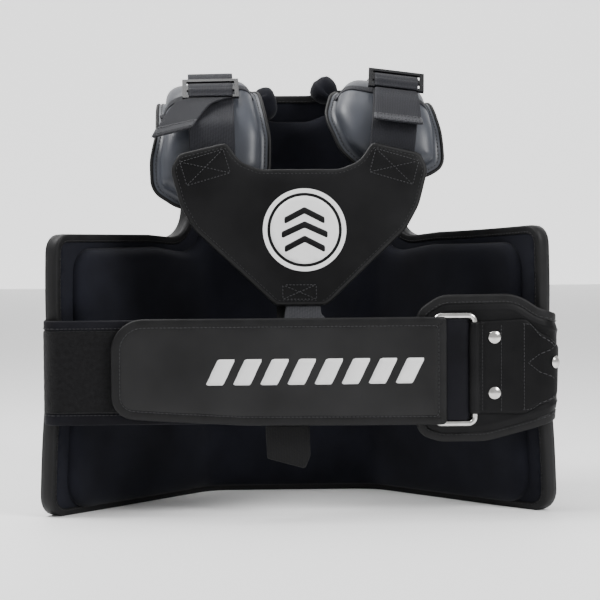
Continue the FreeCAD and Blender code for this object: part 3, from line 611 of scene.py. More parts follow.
flange = slab("lining_flange", inset(body_outline, 1.2), body_inner, lambda u, v, d: 0.0 * u,
              lambda u, v, d: -1.5 + 0 * u, step=9, rims=())
finish(flange, LINING, "lining_cloth", replaces=["inner_lining", "core_board"])


def lining_height(u, v, d):
    """The crowned inner pad: soft shoulders, and a slight hollow where it bends."""
    soft = 10.2 * crown(d, 17.0, 2.2) + 0.8 * np.sin(u * 0.021) * np.sin(v * 0.019) * np.clip(d / 30, 0, 1)
    return 0.3 + soft


lining_pad = slab("lining_pad", pad_outline, body_inner, lining_height, lambda u, v, d: 0.1 + 0 * u, step=7.0,
                  rims=(0.5, 1.6, 3.5, 6.5, 10.5))
finish(lining_pad, LINING, "lining_cloth", replaces=["lining_cover", "lining_foam"])

# the channels sewn into the outer cover
CHANNELS = [(78.0, 330.0), (150.0, 330.0), (222.0, 330.0)]


def outer_height(u, v, d):
    """The outer cover: a thin edge, then thick foam held down by sewn channels."""
    rise = (COVER_OUT - FACE_OUT) * crown(np.clip(d - 15.0, 0, None), 34.0, 2.2)
    for level, reach in CHANNELS:
        across = np.where(np.abs(u) < reach, 1.0, 0.0) * np.clip((reach - np.abs(u)) / 25.0, 0, 1)
        groove = np.exp(-((v - level - 4.0 * np.cos(u / 120.0)) / 6.0) ** 2)
        rise = rise - np.minimum(rise, 5.5 * across * groove)
    return FACE_OUT + 0.4 + rise


shell = slab("front_shell", inset(body_outline, 1.2), body_at, outer_height, lambda u, v, d: 12.2 + 0 * u,
             step=7.0, rims=(9.0, 14.0, 17.0, 21.0, 26.0))
finish(shell, PU, "pu_black", replaces=["front_cover", "front_foam"])


def wavy(base, size, pitch, seed):
    """A tape's edge that is pulled in and out a little by its stitches."""
    def edge(s):
        return base + size * np.sin(s / pitch * math.tau + seed) * (0.6 + 0.4 * np.sin(s * 0.031 + seed))
    return edge


def bound_edge(name, outline, place, low, high, width, replaces, thick=1.1):
    """A folded tape round an outline, with its row of stitches."""
    section = tape_section(width, low, high, thick)
    section = [(deep if k not in (0, 1, 2) else wavy(deep, 0.35, 9.0, k), high_k)
               for k, (deep, high_k) in enumerate(section)]
    finish(swept(name, outline, place, section), TAPE, "binding_tape", replaces=replaces)
    row = stitches(name + "_stitches", inset(outline, width - 1.9), place, high + thick, closed=True)
    finish(row, THREAD, "binding_tape")


bound_edge("edge_tape", body_outline, body_inner, -FACE_OUT - 0.4, 0.0, 7.5,
           ["edge_binding_lower", "edge_binding_upper"])
outer_row = stitches("edge_tape_outer_stitches", inset(body_outline, 5.6), body_at, FACE_OUT + 1.4,
                     closed=True)
finish(outer_row, THREAD, "binding_tape")

panel_outline = rounded_outline([(-70, 70, 16), (70, 70, 16), (70, 300, 16), (-70, 300, 16)], 5.0)
panel = slab("chest_panel", panel_outline, body_at, lambda u, v, d: COVER_OUT + 1.0 + 6.5 * crown(d, 16.0),
             lambda u, v, d: COVER_OUT - 6.0 + 0 * u, step=7.0)
finish(panel, PU_FLAP, "pu_black", replaces=["front_panel"])


def panel_height(u, v):
    away = away_from(u, v, panel_outline)
    return COVER_OUT + 1.0 + 6.5 * crown(away, 16.0)


row = stitches("chest_panel_stitches", inset(panel_outline, 5.0), body_at, panel_height, closed=True)
finish(row, THREAD, "pu_black")


# ------------------------------------------------------------------------------------ yoke
YOKE_LEAN, YOKE_X, YOKE_Y, YOKE_Z = math.radians(8.1), 2.5, 4.0, 221.0


def yoke_at(u, v, h):
    """A point on the yoke: u across, v up its lean, h towards the viewer behind the wearer."""
    back = -h + 0.00025 * u ** 2
    y = back * math.cos(YOKE_LEAN) + v * math.sin(YOKE_LEAN)
    z = -back * math.sin(YOKE_LEAN) + v * math.cos(YOKE_LEAN)
    return np.stack([u + YOKE_X, y + YOKE_Y, z + YOKE_Z], 1)


yoke_outline = rounded_outline(both_sides([
    (26, -1, 12), (72, 43, 60), (110, 79, 36), (124, 104, 50), (134, 142, 15), (126, 158, 8), (77, 169, 5),
    (63, 149, 24), (42, 140.5, 26)]), 4.0)


def yoke_face(u, v):
    """The height of the yoke's padded face."""
    away = away_from(u, v, yoke_outline)
    wave = 0.5 * np.sin(u * 0.05 + 1.0) * np.sin(v * 0.04) * np.clip(away / 25, 0, 1)
    return -3.0 + 4.2 * crown(away, 18.0) + wave


yoke = slab("yoke_face", inset(yoke_outline, 0.8), yoke_at, lambda u, v, d: yoke_face(u, v),
            lambda u, v, d: -8.0 - 3.5 * crown(d, 18.0), step=5.0)
finish(yoke, PU, "pu_black", replaces=["yoke_shell", "yoke_foam", "yoke_lining"])
bound_edge("yoke_tape", yoke_outline, yoke_at, -8.2, -2.4, 6.0, ["yoke_binding"], thick=1.6)


LIFT = 0.05


def laid(name, outline, place, surface, thick, mat, slot, body="root", replaces=(), step=5.0, rim=0.8,
         rims=(0.4, 1.2)):
    """A thin flat piece that lies on a surface."""
    piece = slab(name, outline, place,
                 lambda u, v, d: surface(u, v) + LIFT + thick * (0.45 + 0.55 * crown(d, rim)),
                 lambda u, v, d: surface(u, v) + LIFT - 0.4, step=step, rims=rims)
    return finish(piece, mat, slot, body, replaces)


def circle(cx, cy, radius, count=72):
    angle = np.linspace(0, math.tau, count, endpoint=False)
    return np.stack([cx + radius * np.cos(angle), cy + radius * np.sin(angle)], 1)


def annulus(name, cx, cy, radius, width, place, surface, thick, mat, slot):
    """A thin ring that lies on a surface."""
    path = circle(cx, cy, radius, 96)
    count = len(path)
    normal = inward(path)
    section = [(0.0, 0.0), (0.0, thick), (width, thick), (width, 0.0)]
    points = []
    for deep, high in section:
        spot = path + normal * deep
        points.append(place(spot[:, 0], spot[:, 1], surface(spot[:, 0], spot[:, 1]) + high))
    stacked = np.stack(points, 1).reshape(-1, 3)
    faces = [(i * 4 + k, ((i + 1) % count) * 4 + k, ((i + 1) % count) * 4 + (k + 1) % 4, i * 4 + (k + 1) % 4)
             for i in range(count) for k in range(4)]
    flat = np.repeat(np.concatenate([path, np.zeros((count, 1))], 1), 4, axis=0)
    return finish(outward(mesh_object(name, stacked, faces, flat, smooth=False)), mat, slot)


def box_x(name, middle, wide, high, tilt, place, surface, margin=3.5):
    """The square-and-cross stitching of a strap's sewn end."""
    cos, sin = math.cos(tilt), math.sin(tilt)
    a, b = wide / 2 - margin, high / 2 - margin
    corners = np.array([(-a, -b), (a, -b), (a, b), (-a, b)])
    corners = corners @ np.array([[cos, -sin], [sin, cos]]) + middle
    for k, ends in enumerate(([0, 1], [1, 2], [2, 3], [3, 0], [0, 2], [1, 3])):
        row = stitches(f"{name}_{k}", corners[ends], place, surface, length=2.6, gap=1.0)
        finish(row, THREAD_GREY, "webbing")


BADGE = (4.0, 77.0, 43.5)
annulus("badge_ring", *BADGE, 4.6, yoke_at, yoke_face, 0.35, PRINT, "white_print")
laid("badge_disc", circle(BADGE[0], BADGE[1], BADGE[2] - 7.8), yoke_at, yoke_face, 0.3, PRINT,
     "white_print", replaces=["yoke_badge"], step=4.0, rim=0.4, rims=())


def badge_top(u, v):
    return yoke_face(u, v) + 0.35


for k, (level, reach) in enumerate(((-17.0, 21.0), (-2.0, 24.0), (13.0, 21.0))):
    corners = [(-reach, level - 7, 1), (0, level + 4, 1.5), (reach, level - 7, 1), (reach, level, 1),
               (0, level + 11, 1.5), (-reach, level, 1)]
    chevron = rounded_outline(corners, 2.0) + np.array(BADGE[:2])
    laid(f"badge_chevron_{k}", chevron, yoke_at, badge_top, 0.25, PU, "pu_black", step=3.0, rim=0.3, rims=())

SEWN_TILT = math.radians(16)
for side, sign in (("left", -1), ("right", 1)):
    box_x(f"yoke_box_x_{side}", np.array([sign * 99.0, 143.5]), 54, 33, sign * SEWN_TILT, yoke_at,
          lambda u, v: yoke_face(u, v) - 0.1)
box_x("yoke_tip_box_x", np.array([-2.0, 12.0]), 38, 18, 0.0, yoke_at, lambda u, v: yoke_face(u, v) - 0.1,
      margin=1.5)


# ------------------------------------------------------------------------------- shoulders
class Bend:
    """A flat path of straight runs joined by arcs, which pieces are laid along."""

    def __init__(self, start, runs, radius, side=1.0, step=1.0):
        corners = [np.array(start, float)]
        for degrees, length in runs:
            turn = math.radians(degrees)
            corners.append(corners[-1] + length * np.array([math.cos(turn), math.sin(turn)]))
        path = [corners[0]]
        for i in range(1, len(corners) - 1):
            back, ahead = corners[i - 1] - corners[i], corners[i + 1] - corners[i]
            a, b = back / np.linalg.norm(back), ahead / np.linalg.norm(ahead)
            half = math.acos(np.clip(a @ b, -1, 1)) / 2
            reach = min(radius / math.tan(half), 0.49 * np.linalg.norm(back), 0.49 * np.linalg.norm(ahead))
            curve = [corners[i] + a * reach, corners[i], corners[i] + b * reach]
            for t in np.linspace(0, 1, 12):
                path.append((1 - t) ** 2 * curve[0] + 2 * t * (1 - t) * curve[1] + t ** 2 * curve[2])
        path.append(corners[-1])
        self.path = resample(np.array(path), step)
        self.length = np.linalg.norm(np.diff(self.path, axis=0), axis=1).sum()
        self.along = np.concatenate([[0], np.cumsum(np.linalg.norm(np.diff(self.path, axis=0), axis=1))])
        tangent = np.gradient(self.path, axis=0)
        self.tangent = tangent / np.linalg.norm(tangent, axis=1)[:, None]
        self.side = side

    def at(self, s, off):
        """Points at distance `s` along the path and `off` to its left, or to its right if side is -1."""
        spot = np.stack([np.interp(s, self.along, self.path[:, k]) for k in (0, 1)], 1)
        run = np.stack([np.interp(s, self.along, self.tangent[:, k]) for k in (0, 1)], 1)
        run /= np.linalg.norm(run, axis=1)[:, None]
        past = np.where(s < 0, s, np.where(s > self.length, s - self.length, 0.0))
        left = np.stack([-run[:, 1], run[:, 0]], 1) * self.side
        return spot + run * past[:, None] + left * np.asarray(off)[:, None]


PAD_BEND = Bend((56, 318), [(76, 84.5), (40, 57), (-3.5, 55)], 60)
WEB_BEND = Bend((39.5, 352), [(81.9, 57.5), (42, 80.7), (-3.5, 112), (-47, 36), (-90, 52)], 14)
PAD_TILT, PIVOT = 7.0, 400.0


def shoulder_at(bend, middle, tilt):
    """A placing function for pieces laid along a shoulder's bend, tilted to the right by `tilt` degrees."""
    sin, cos = math.sin(math.radians(tilt)), math.cos(math.radians(tilt))

    def place(u, v, h):
        spot = bend.at(np.asarray(v, float), np.asarray(h, float) + 0 * np.asarray(u, float))
        up = spot[:, 1] - PIVOT
        return np.stack([u * cos + up * sin + middle, spot[:, 0], up * cos - u * sin + PIVOT], 1)
    return place


def curve(points, t):
    """Catmull-Rom through the points, for t from 0 to 1."""
    points = np.asarray(points, float)
    points = np.vstack([2 * points[0] - points[1], points, 2 * points[-1] - points[-2]])
    spot = np.clip(np.asarray(t, float), 0, 1) * (len(points) - 3)
    i = np.minimum(spot.astype(int), len(points) - 4)
    f = (spot - i)[:, None]
    a, b, c, d = points[i], points[i + 1], points[i + 2], points[i + 3]
    bend, twist = 2 * a - 5 * b + 4 * c - d, 3 * b - a - 3 * c + d
    return 0.5 * (2 * b + (c - a) * f + bend * f ** 2 + twist * f ** 3)


def between(left_edge, right_edge, length, half):
    """A placing function for a strap that runs between two edge curves."""
    def place(u, v, h):
        t = np.asarray(v, float) / length
        left, right = curve(left_edge, t), curve(right_edge, t)
        ahead = (curve(left_edge, t + 0.02) + curve(right_edge, t + 0.02) - curve(left_edge, t - 0.02)
                 - curve(right_edge, t - 0.02))
        normal = np.cross(ahead, right - left)
        normal /= np.linalg.norm(normal, axis=1)[:, None]
        share = ((np.asarray(u, float) / half + 1) / 2)[:, None]
        return left + (right - left) * share + normal * (np.asarray(h, float) + 0 * t)[:, None]
    return place


def tube(name, spine, radius, mat, slot, replaces=()):
    """A soft roll with rounded ends along a spine of layout points."""
    around = 20
    spine = np.asarray(spine, float)
    fine = resample(spine, 1.5)
    length = np.concatenate([[0], np.cumsum(np.linalg.norm(np.diff(fine, axis=0), axis=1))])
    tangent = np.gradient(fine, axis=0)
    tangent /= np.linalg.norm(tangent, axis=1)[:, None]
    side = np.cross(tangent, [0, 1.0, 0.2])
    side /= np.linalg.norm(side, axis=1)[:, None]
    other = np.cross(tangent, side)
    points, flat = [], []
    for k in range(around):
        angle = math.tau * k / around
        fat = np.array([radius(s, length[-1]) for s in length])
        points.append(fine + (side * math.cos(angle) + other * math.sin(angle)) * fat[:, None])
        flat.append(np.stack([length, fat * angle, np.zeros(len(fine))], 1))
    stacked = np.stack(points, 1).reshape(-1, 3)
    faces = ring_faces(len(fine), around)
    faces.append(tuple(range(around))[::-1])
    faces.append(tuple(range((len(fine) - 1) * around, len(fine) * around)))
    piece = outward(mesh_object(name, stacked, faces, np.stack(flat, 1).reshape(-1, 3)))
    return finish(piece, mat, slot, replaces=replaces)


def mirrored(corners, sign):
    """Corners for the left or right piece, kept anticlockwise."""
    return corners if sign > 0 else [(-x, y, r) for x, y, r in reversed(corners)]


# each pad's outline: outwards from its middle, and along it from its rear end
PAD_CORNERS = {"left": [(-30, 3, 30), (42, 4, 30), (70, 28, 24), (67, 62, 60), (57, 92, 60), (50, 183, 16),
                        (-46, 183, 16), (-60, 140, 50), (-64, 70, 60), (-58, 30, 30)],
               "right": [(-18, 40, 24), (52, 38, 26), (72, 54, 18), (66, 92, 60), (58, 130, 60),
                         (50, 183, 16), (-42, 183, 16), (-57, 132, 40), (-62, 94, 44), (-42, 58, 46)]}
WEB_MIDDLE, WEB_TILT = {"left": -89.0, "right": 103.0}, {"left": -1.0, "right": 7.0}
WEB_START, YOKE_RISE, YOKE_RUN, SLOPE = np.array([39.5, 352]), math.radians(81.9), 57.5, math.radians(42)
CORNER = WEB_START + YOKE_RUN * np.array([math.cos(YOKE_RISE), math.sin(YOKE_RISE)])
GLIDE_AT, TAIL_AT = {"left": 37.0, "right": 50.7}, {"left": 35.5, "right": 49.2}
# lighter than the strap: partly the hem's coated backing, partly a painted highlight where the folded end
# catches light
HEM_AND_HIGHLIGHT = webbing("WovenHemPaintedHighlight", (0.045, 0.046, 0.052), rough=0.5)
# a darker copy of the black webbing: painted shade for the lower strap, which lies in shade below the yoke
SHADED_WEBBING = webbing("PaintedShadeWebbing", (0.0055, 0.0055, 0.006), rough=0.75)


def slope_at(middle, tilt):
    """A placing function for pieces on the strap's slope: v counts from the bend at the yoke's arm."""
    sin, cos = math.sin(math.radians(tilt)), math.cos(math.radians(tilt))

    def place(u, v, h):
        y = CORNER[0] + v * math.cos(SLOPE) - h * math.sin(SLOPE) + 0 * u
        up = CORNER[1] + v * math.sin(SLOPE) + h * math.cos(SLOPE) - PIVOT
        return np.stack([u * cos + up * sin + middle, y, up * cos - u * sin + PIVOT], 1)
    return place


def bowed(points):
    """A height along v through (v, h) points, smoothed by a cosine between them."""
    vs, hs = np.array(points, float).T

    def height(v):
        i = np.clip(np.searchsorted(vs, v) - 1, 0, len(vs) - 2)
        f = np.clip((v - vs[i]) / (vs[i + 1] - vs[i]), 0, 1)
        return hs[i] + (hs[i + 1] - hs[i]) * (1 - np.cos(math.pi * f)) / 2
    return height


def strap(name, place, low, high, half, height, mat, body, replaces=(), step=3.0, thick=1.8):
    """A length of strap laid at `height` over a placing function's surface."""
    edge = box_outline(-half, low, half, high, 0.8, step)
    piece = slab(name, edge, place, lambda u, v, d: height(v) + thick * (0.5 + 0.5 * crown(d, 1.2)),
                 lambda u, v, d: height(v) + 0 * u, step=step, rims=(0.5, 1.4))
    return finish(piece, mat, "webbing", body, replaces)


for side, sign in (("left", -1), ("right", 1)):
    pad_place = shoulder_at(PAD_BEND, sign * 91.0, sign * PAD_TILT)
    pad_edge = rounded_outline(mirrored(PAD_CORNERS[side], sign), 4.0)

    def pad_top(u, v, away=None, edge=pad_edge):
        """The moulded pad's top: a flat flange, then a raised bulge with a shallow fall to its ends."""
        if away is None:
            away = away_from(u, v, edge)
        rise = crown(np.clip(away - 10.5, 0, None), 19.0, 2.3)
        ripple = 0.5 * np.sin(v * 0.06 + 1.0) * np.clip((away - 14) / 16, 0, 1)
        return 3.6 + 17.4 * rise + 0.9 * np.clip((away - 28) / 20, 0, 1) + ripple

    pad = slab(f"shoulder_pad_{side}", pad_edge, pad_place, pad_top, lambda u, v, d: 1.4 + 0 * u, step=4.5,
               rims=(3.0, 6.0, 10.4, 11.5, 13.2, 16.0, 20.0))
    finish(pad, PU_MOULDED, "pu_moulded", replaces=[f"pad_cover_{side}", f"pad_foam_{side}"])
    under = slab(f"shoulder_pad_lining_{side}", inset(pad_edge, 0.4), pad_place, lambda u, v, d: 1.6 + 0 * u,
                 lambda u, v, d: 1.5 - 2.0 * crown(d, 8.0), step=7.0)
    finish(under, LINING, "lining_cloth", replaces=[f"pad_base_{side}"])
    piping = [(1.6 - 1.9 * math.cos(a), 3.0 + 1.9 * math.sin(a)) for a in np.linspace(0, math.tau, 11)[:-1]]
    rim = swept(f"shoulder_pad_piping_{side}", pad_edge, pad_place, piping[::-1])
    finish(rim, TAPE, "binding_tape", replaces=[f"pad_piping_{side}"])
    row = stitches(f"shoulder_pad_stitches_{side}", inset(pad_edge, 6.2), pad_place, 3.7, closed=True)
    finish(row, THREAD, "pu_moulded")

    keeper = rounded_outline(mirrored([(-52, 124, 1), (50, 112, 1), (51, 119, 1), (-51, 131, 1)], sign), 3.0)
    laid(f"keeper_strap_{side}", keeper, pad_place, pad_top, 1.2, WEBBING, "webbing",
         replaces=[f"keeper_band_{side}"], step=3.0)

    web_place = shoulder_at(WEB_BEND, WEB_MIDDLE[side], WEB_TILT[side])
    web_edge = box_outline(-24, 0, 24, WEB_BEND.length - 1, 1)
    piece = slab(f"shoulder_strap_{side}", web_edge, web_place, lambda u, v, d: 0.9 + 0.9 * crown(d, 1.2),
                 lambda u, v, d: 0.0 * u, step=4.0, rims=(0.5, 1.4))
    finish(piece, WEBBING, "webbing", replaces=[f"shoulder_webbing_{side}"])
    end = WEB_BEND.length - 6
    anchor = box_outline(-25, end - 40, 25, end, 2, 3.0)
    laid(f"front_strap_end_soft_{side}", anchor, web_place, lambda u, v: 1.8 + 0 * u, 1.6, WEBBING, "webbing",
         replaces=[f"front_strap_end_{side}"], step=4.0)
    box_x(f"front_box_x_{side}", np.array([0, end - 20.0]), 48, 40, 0.0, web_place, lambda u, v: 3.4 + 0 * u)

    # the strap goes over the slide's middle bar, back out over its lower bar, and on as the loose tail
    slide_place = slope_at(WEB_MIDDLE[side], WEB_TILT[side])
    over = bowed([(4.6, 2.4), (9.5, 4.6), (12.5, 6.1), (17.5, 6.1), (20.5, 4.6), (25.4, 2.4)])
    strap(f"slide_loop_{side}", slide_place, GLIDE_AT[side] + 4.8, GLIDE_AT[side] + 25.2, 23.5,
          lambda v, at=GLIDE_AT[side]: over(v - at), WEBBING, f"glide_{side}", step=2.0)
    out = bowed([(-2.6, 4.3), (-1.0, 5.9), (3.0, 6.0), (7.5, 8.2), (11.0, 8.4)])
    strap(f"slide_exit_{side}", slide_place, TAIL_AT[side] + 1.5, GLIDE_AT[side] + 10.5, 23.2,
          lambda v, at=GLIDE_AT[side]: out(v - at), WEBBING, f"glide_{side}", step=2.0)

# the right tail lies down over the strap; the left one curls off outwards
tail_place = slope_at(WEB_MIDDLE["right"], WEB_TILT["right"])
lie = bowed([(-62, 9.0), (-48, 5.0), (-20, 6.5), (0.5, 4.4)])


def right_tail(u, v, h):
    """The right tail, v down from its fold, spreading a little towards its end."""
    wide = 1 + 0.12 * np.clip(v / 56, 0, 1)
    return tail_place(u * wide + 3.0 * v / 56, TAIL_AT["right"] - v, lie(-v) + h + 0.0005 * u ** 2)


LEFT_EDGE = [(-112, 69.8, 436.0), (-126, 66.5, 431.5), (-135, 60, 422), (-145, 49, 406), (-152, 42, 393.5)]
RIGHT_EDGE = [(-66, 70.0, 436.4), (-76, 67.5, 434.6), (-90, 61, 429), (-102, 50, 415), (-109.5, 43, 404)]
left_tail = between(LEFT_EDGE, RIGHT_EDGE, 60.0, 23.0)
for side, place, length in (("left", left_tail, 60.0), ("right", right_tail, 57.0)):
    body = f"tail_{side}"
    strap(f"strap_tail_{side}", place, 0.0, length, 23.0, lambda v: 0.0 * v, WEBBING, body,
          [f"webbing_tail_{side}"])
    # the hem's lighter colour is partly its coated backing, partly a painted highlight
    strap(f"strap_tail_hem_{side}", place, length - 12.0, length + 0.8, 23.4, lambda v: 0.0 * v + 1.85, HEM_AND_HIGHLIGHT,
          body, thick=2.0)
    for k, level in enumerate((length - 10.0, length - 2.4)):
        line = np.array([(-21.5, level), (21.5, level)])
        row = stitches(f"strap_tail_hem_row_{side}_{k}", line, place, 3.9, length=2.4, gap=0.9)
        finish(row, THREAD_GREY, "webbing", body)
    paint(f"tri_glide_{side}", DARK_METAL)

ROLLS = {"left": ([(-30, 184, 415), (-30, 184, 430), (-32, 184, 444), (-36, 182, 450)], 15.0),
         "right": ([(35, 184, 434), (37, 184, 444), (42, 182, 450), (50, 178, 452)], 18.5)}
for side, (spine, fat) in ROLLS.items():
    def roll(s, total, fat=fat):
        end = min(s, total - s)
        return fat * math.sqrt(max(0.02, 1 - (1 - min(end / fat, 1.0)) ** 2))

    neck = tube(f"neck_roll_soft_{side}", spine, roll, LINING, "lining_cloth", replaces=[f"neck_roll_{side}"])

# ----------------------------------------------------------------------------- waist belt
BELT_BEND = Bend((-120, -3), [(0, 373), (40, 11), (90, 59.2), (130, 46)], 7, side=-1)
PATCH_BEND = Bend((122, 3), [(0, 131), (40, 11), (90, 53.2), (130, 46)], 10, side=-1)


def belt_at(u, v, h):
    """The belt, from its right end on the back round the left wing: u along it, v up, h outwards."""
    spot = BELT_BEND.at(np.asarray(u, float), np.asarray(h, float) + 0 * np.asarray(u, float))
    return np.stack([-spot[:, 0], spot[:, 1], v + 0 * u], 1)


def patch_at(u, v, h):
    """The ring patch, from its left end round the right wing."""
    spot = PATCH_BEND.at(np.asarray(u, float), np.asarray(h, float) + 0 * np.asarray(u, float))
    return np.stack([spot[:, 0], spot[:, 1], v + 0 * u], 1)


BELT_LOW, BELT_HIGH = 98.0, 205.0
belt_edge = box_outline(0, BELT_LOW, BELT_BEND.length - 1, BELT_HIGH, 2)
belt = slab("belt_strip", belt_edge, belt_at, lambda u, v, d: 1.6 + 1.2 * crown(d, 3.0),
            lambda u, v, d: 0.2 * crown(d, 3.0), step=6.0, rims=(1.0, 2.5))
finish(belt, BELT_CLOTH, "lining_cloth", replaces=["belt_base"])
pile_edge = box_outline(0, BELT_LOW + 12, BELT_BEND.length - 3, BELT_HIGH - 10, 1.5)
pile = slab("belt_pile", pile_edge, belt_at, lambda u, v, d: 2.9 + 1.1 * crown(d, 2.0),
            lambda u, v, d: 2.4 + 0 * u, step=6.0, rims=(0.8, 2.0))
finish(pile, LOOP, "loop_cloth", replaces=["belt_loop_panel"])
for name, low, high in (("low", BELT_LOW - 0.6, BELT_LOW + 11.5), ("high", BELT_HIGH - 9.5, BELT_HIGH + 0.6)):
    edge = box_outline(0, low, BELT_BEND.length - 1.5, high, 1.5)
    band = slab(f"belt_band_{name}", edge, belt_at, lambda u, v, d: 2.2 + 1.4 * crown(d, 2.2),
                lambda u, v, d: 1.2 + 0 * u, step=5.0, rims=(0.7, 1.8))
    finish(band, ELASTIC, "elastic")
    seam = high - 1.8 if name == "low" else low + 1.8
    line = resample(np.array([(2.0, seam), (BELT_BEND.length - 4, seam)]), 3.0)
    finish(stitches(f"belt_band_{name}_row", line, belt_at, 3.6), THREAD, "elastic")
anchor_edge = box_outline(BELT_BEND.length - 42, 108, BELT_BEND.length + 8, 196, 6)
laid("belt_anchor", anchor_edge, belt_at, lambda u, v: 3.4 + 0 * u, 2.0, PU, "pu_black",
     replaces=["belt_anchor_patch"])
corners = np.array([BELT_BEND.length - 38, 112.0]) + np.array([(0, 0), (1, 0), (1, 1), (0, 1)]) * (42.0, 80.0)
for k, ends in enumerate(([0, 1], [1, 2], [2, 3], [3, 0], [0, 2], [3, 1])):
    finish(stitches(f"belt_anchor_row_{k}", corners[ends], belt_at, 5.4), THREAD_GREY, "pu_black")


# closure flap
FLAP_BACK, FLAP_LEFT, FLAP_RIGHT, FLAP_LOW, FLAP_HIGH = -8.4, -194.0, 151.0, 96.0, 206.0
BAR_X = 140.0


def flap_at(u, v, h):
    """The flap, flat behind the back, bulging a little over the ring's bar."""
    over = 2.6 * np.exp(-((u - BAR_X - 2) / 9.0) ** 2) * (h > 1.0)
    sag = 0.8 * np.sin((u - FLAP_LEFT) / 345.0 * math.pi)
    return np.stack([u, FLAP_BACK - h - over, v - sag * (v < 150)], 1)


flap_edge = rounded_outline([(FLAP_LEFT, FLAP_LOW + 10, 32), (-150, FLAP_LOW + 7, 80),
                             (-60, FLAP_LOW + 2, 200), (FLAP_RIGHT, FLAP_LOW, 3), (FLAP_RIGHT, FLAP_HIGH, 3),
                             (FLAP_LEFT, FLAP_HIGH, 32)], 4.0)


def flap_face(u, v):
    """The flap's padded face: held flat by its binding, slightly full between."""
    away = away_from(u, v, flap_edge)
    wave = 0.35 * np.sin(u * 0.045 + 0.6) * np.sin(v * 0.05) + 0.25 * np.sin(u * 0.11 + v * 0.03)
    return 4.6 + 1.5 * crown(away - 7.0, 12.0) + wave * np.clip(away / 20, 0, 1)


def folds(piece):
    """Bakes a flap piece's transform into its mesh; the ends of the ring's bar are worked out but not used.
    """
    start, end = shift([(BAR_X + 4.5, -11.3, 150), (BAR_X - 4.5, -11.3, 150)])
    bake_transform(piece)


flap = slab("closure_flap", inset(flap_edge, 0.8), flap_at, lambda u, v, d: flap_face(u, v),
            lambda u, v, d: 1.0 + 0.3 * crown(d, 4.0), step=5.0, rims=(1.0, 4.0, 7.0, 9.0, 12.0))
finish(flap, PU_FLAP, "pu_flap", None, ["closure_flap_face", "closure_flap_core"])
folds(flap)
section = tape_section(9.5, 1.0, 4.6, 1.0)
tape = swept("closure_flap_tape", flap_edge, flap_at, section)
finish(tape, TAPE, "binding_tape", None, ["closure_flap_binding"])
folds(tape)
row = stitches("closure_flap_stitches", inset(flap_edge, 7.8), flap_at, 5.7, closed=True)
finish(row, THREAD_GREY, "binding_tape", None)
folds(row)

BARS = 8
for k in range(BARS):
    left = -98.0 + k * 28.0
    corners = [(left, 139, 0.8), (left + 18, 139, 0.8), (left + 31, 165, 0.8), (left + 13, 165, 0.8)]
    laid(f"flap_bar_{k}", rounded_outline(corners, 3.0), flap_at, flap_face, 0.35, PRINT, "white_print",
         "flap", ["flap_mark"] if k == 0 else (), step=5.0, rim=0.3, rims=())
hook_edge = box_outline(-182, FLAP_LOW + 14, -80, FLAP_HIGH - 14, 10)
hook = slab("flap_hooks", hook_edge, flap_at, lambda u, v, d: 0.9 + 0 * u, lambda u, v, d: 0.0 * u, step=6.0,
            rims=(0.8,))
finish(hook, HOOKS, "hook_tape", "flap", ["hook_pad"])

# the belt's turn through the ring
turn_edge = box_outline(143.5, 99.6, 176.0, 204.6, 2.5, 3.0)


def turn_at(u, v, h):
    return np.stack([u, -8.2 - h, v + 0 * u], 1)


def turn_height(u, v, d):
    """Full round the bar, and a little thinner at the turn's upper and lower edges."""
    full = 5.4 * crown(np.minimum(u - 143.5, 176.0 - u), 15.0, 2.0)
    return 0.6 + full * (0.86 + 0.14 * crown(np.minimum(v - 99.6, 204.6 - v), 10.0))


turn = slab("belt_turn_soft", turn_edge, turn_at, turn_height, lambda u, v, d: 0.2 + 0 * u, step=3.0,
            rims=(0.5, 1.5, 3.0))
finish(turn, ELASTIC, "elastic", "ring", ["belt_turn"])

# -------------------------------------------------------------------- ring patch and tab
PATCH_LOW, PATCH_HIGH, PATCH_TOP = 77.0, 228.0, 9.5
END_U = PATCH_BEND.length - 1
patch_edge = rounded_outline([(0, PATCH_LOW + 8, 18), (24, PATCH_LOW, 30), (72, PATCH_LOW, 60),
                              (126, PATCH_LOW + 14, 60), (150, 102, 40), (END_U, 106, 14), (END_U, 200, 14),
                              (150, 205, 40), (128, 213, 50), (104, PATCH_HIGH + 1, 50), (24, PATCH_HIGH, 30),
                              (0, PATCH_HIGH - 16, 18)], 4.0)


def patch_face(u, v):
    """The patch's padded face, with a welt line inside its binding."""
    away = away_from(u, v, patch_edge)
    welt = 1.0 * np.exp(-((away - 15.5) / 1.7) ** 2)
    return 6.6 + 2.6 * crown(away - 8.0, 6.0) + welt


patch = slab("ring_patch_soft", inset(patch_edge, 0.8), patch_at, lambda u, v, d: patch_face(u, v),
             lambda u, v, d: 1.2 - 1.0 * crown(d, 6.0), step=4.5,
             rims=(4.0, 7.5, 9.0, 11.0, 13.0, 14.7, 16.4, 18.5))
finish(patch, PU, "pu_black", replaces=["ring_patch_face", "ring_patch_foam", "ring_patch_lining"])
bound_edge("ring_patch_tape", patch_edge, patch_at, 0.6, 6.9, 8.5, ["ring_patch_binding"])

TAB_LOW, TAB_HIGH, RING_U = 106.0, 201.0, 181.0 - 122.0
tab_edge = rounded_outline([(RING_U - 6.2, TAB_LOW, 1.5), (112, TAB_LOW - 1, 10), (141, 122, 8),
                            (143, 174, 8), (113, TAB_HIGH + 3, 10), (RING_U - 6.2, TAB_HIGH, 1.5)], 3.5)


def tab_face(u, v):
    """The tab: a loop round the ring's bar, pinched by its first seam, then flat."""
    loop = 7.6 * crown(np.clip(1 - np.abs(u - RING_U) / 6.4, 0, 1), 1.0, 2.0)
    seam = -0.9 * np.exp(-((u - RING_U - 8.5) / 1.6) ** 2)
    away = away_from(u, v, tab_edge)
    return PATCH_TOP + 0.6 + 1.6 * crown(away, 2.5) + np.where(u < RING_U + 6.4, loop, 0.0) + seam


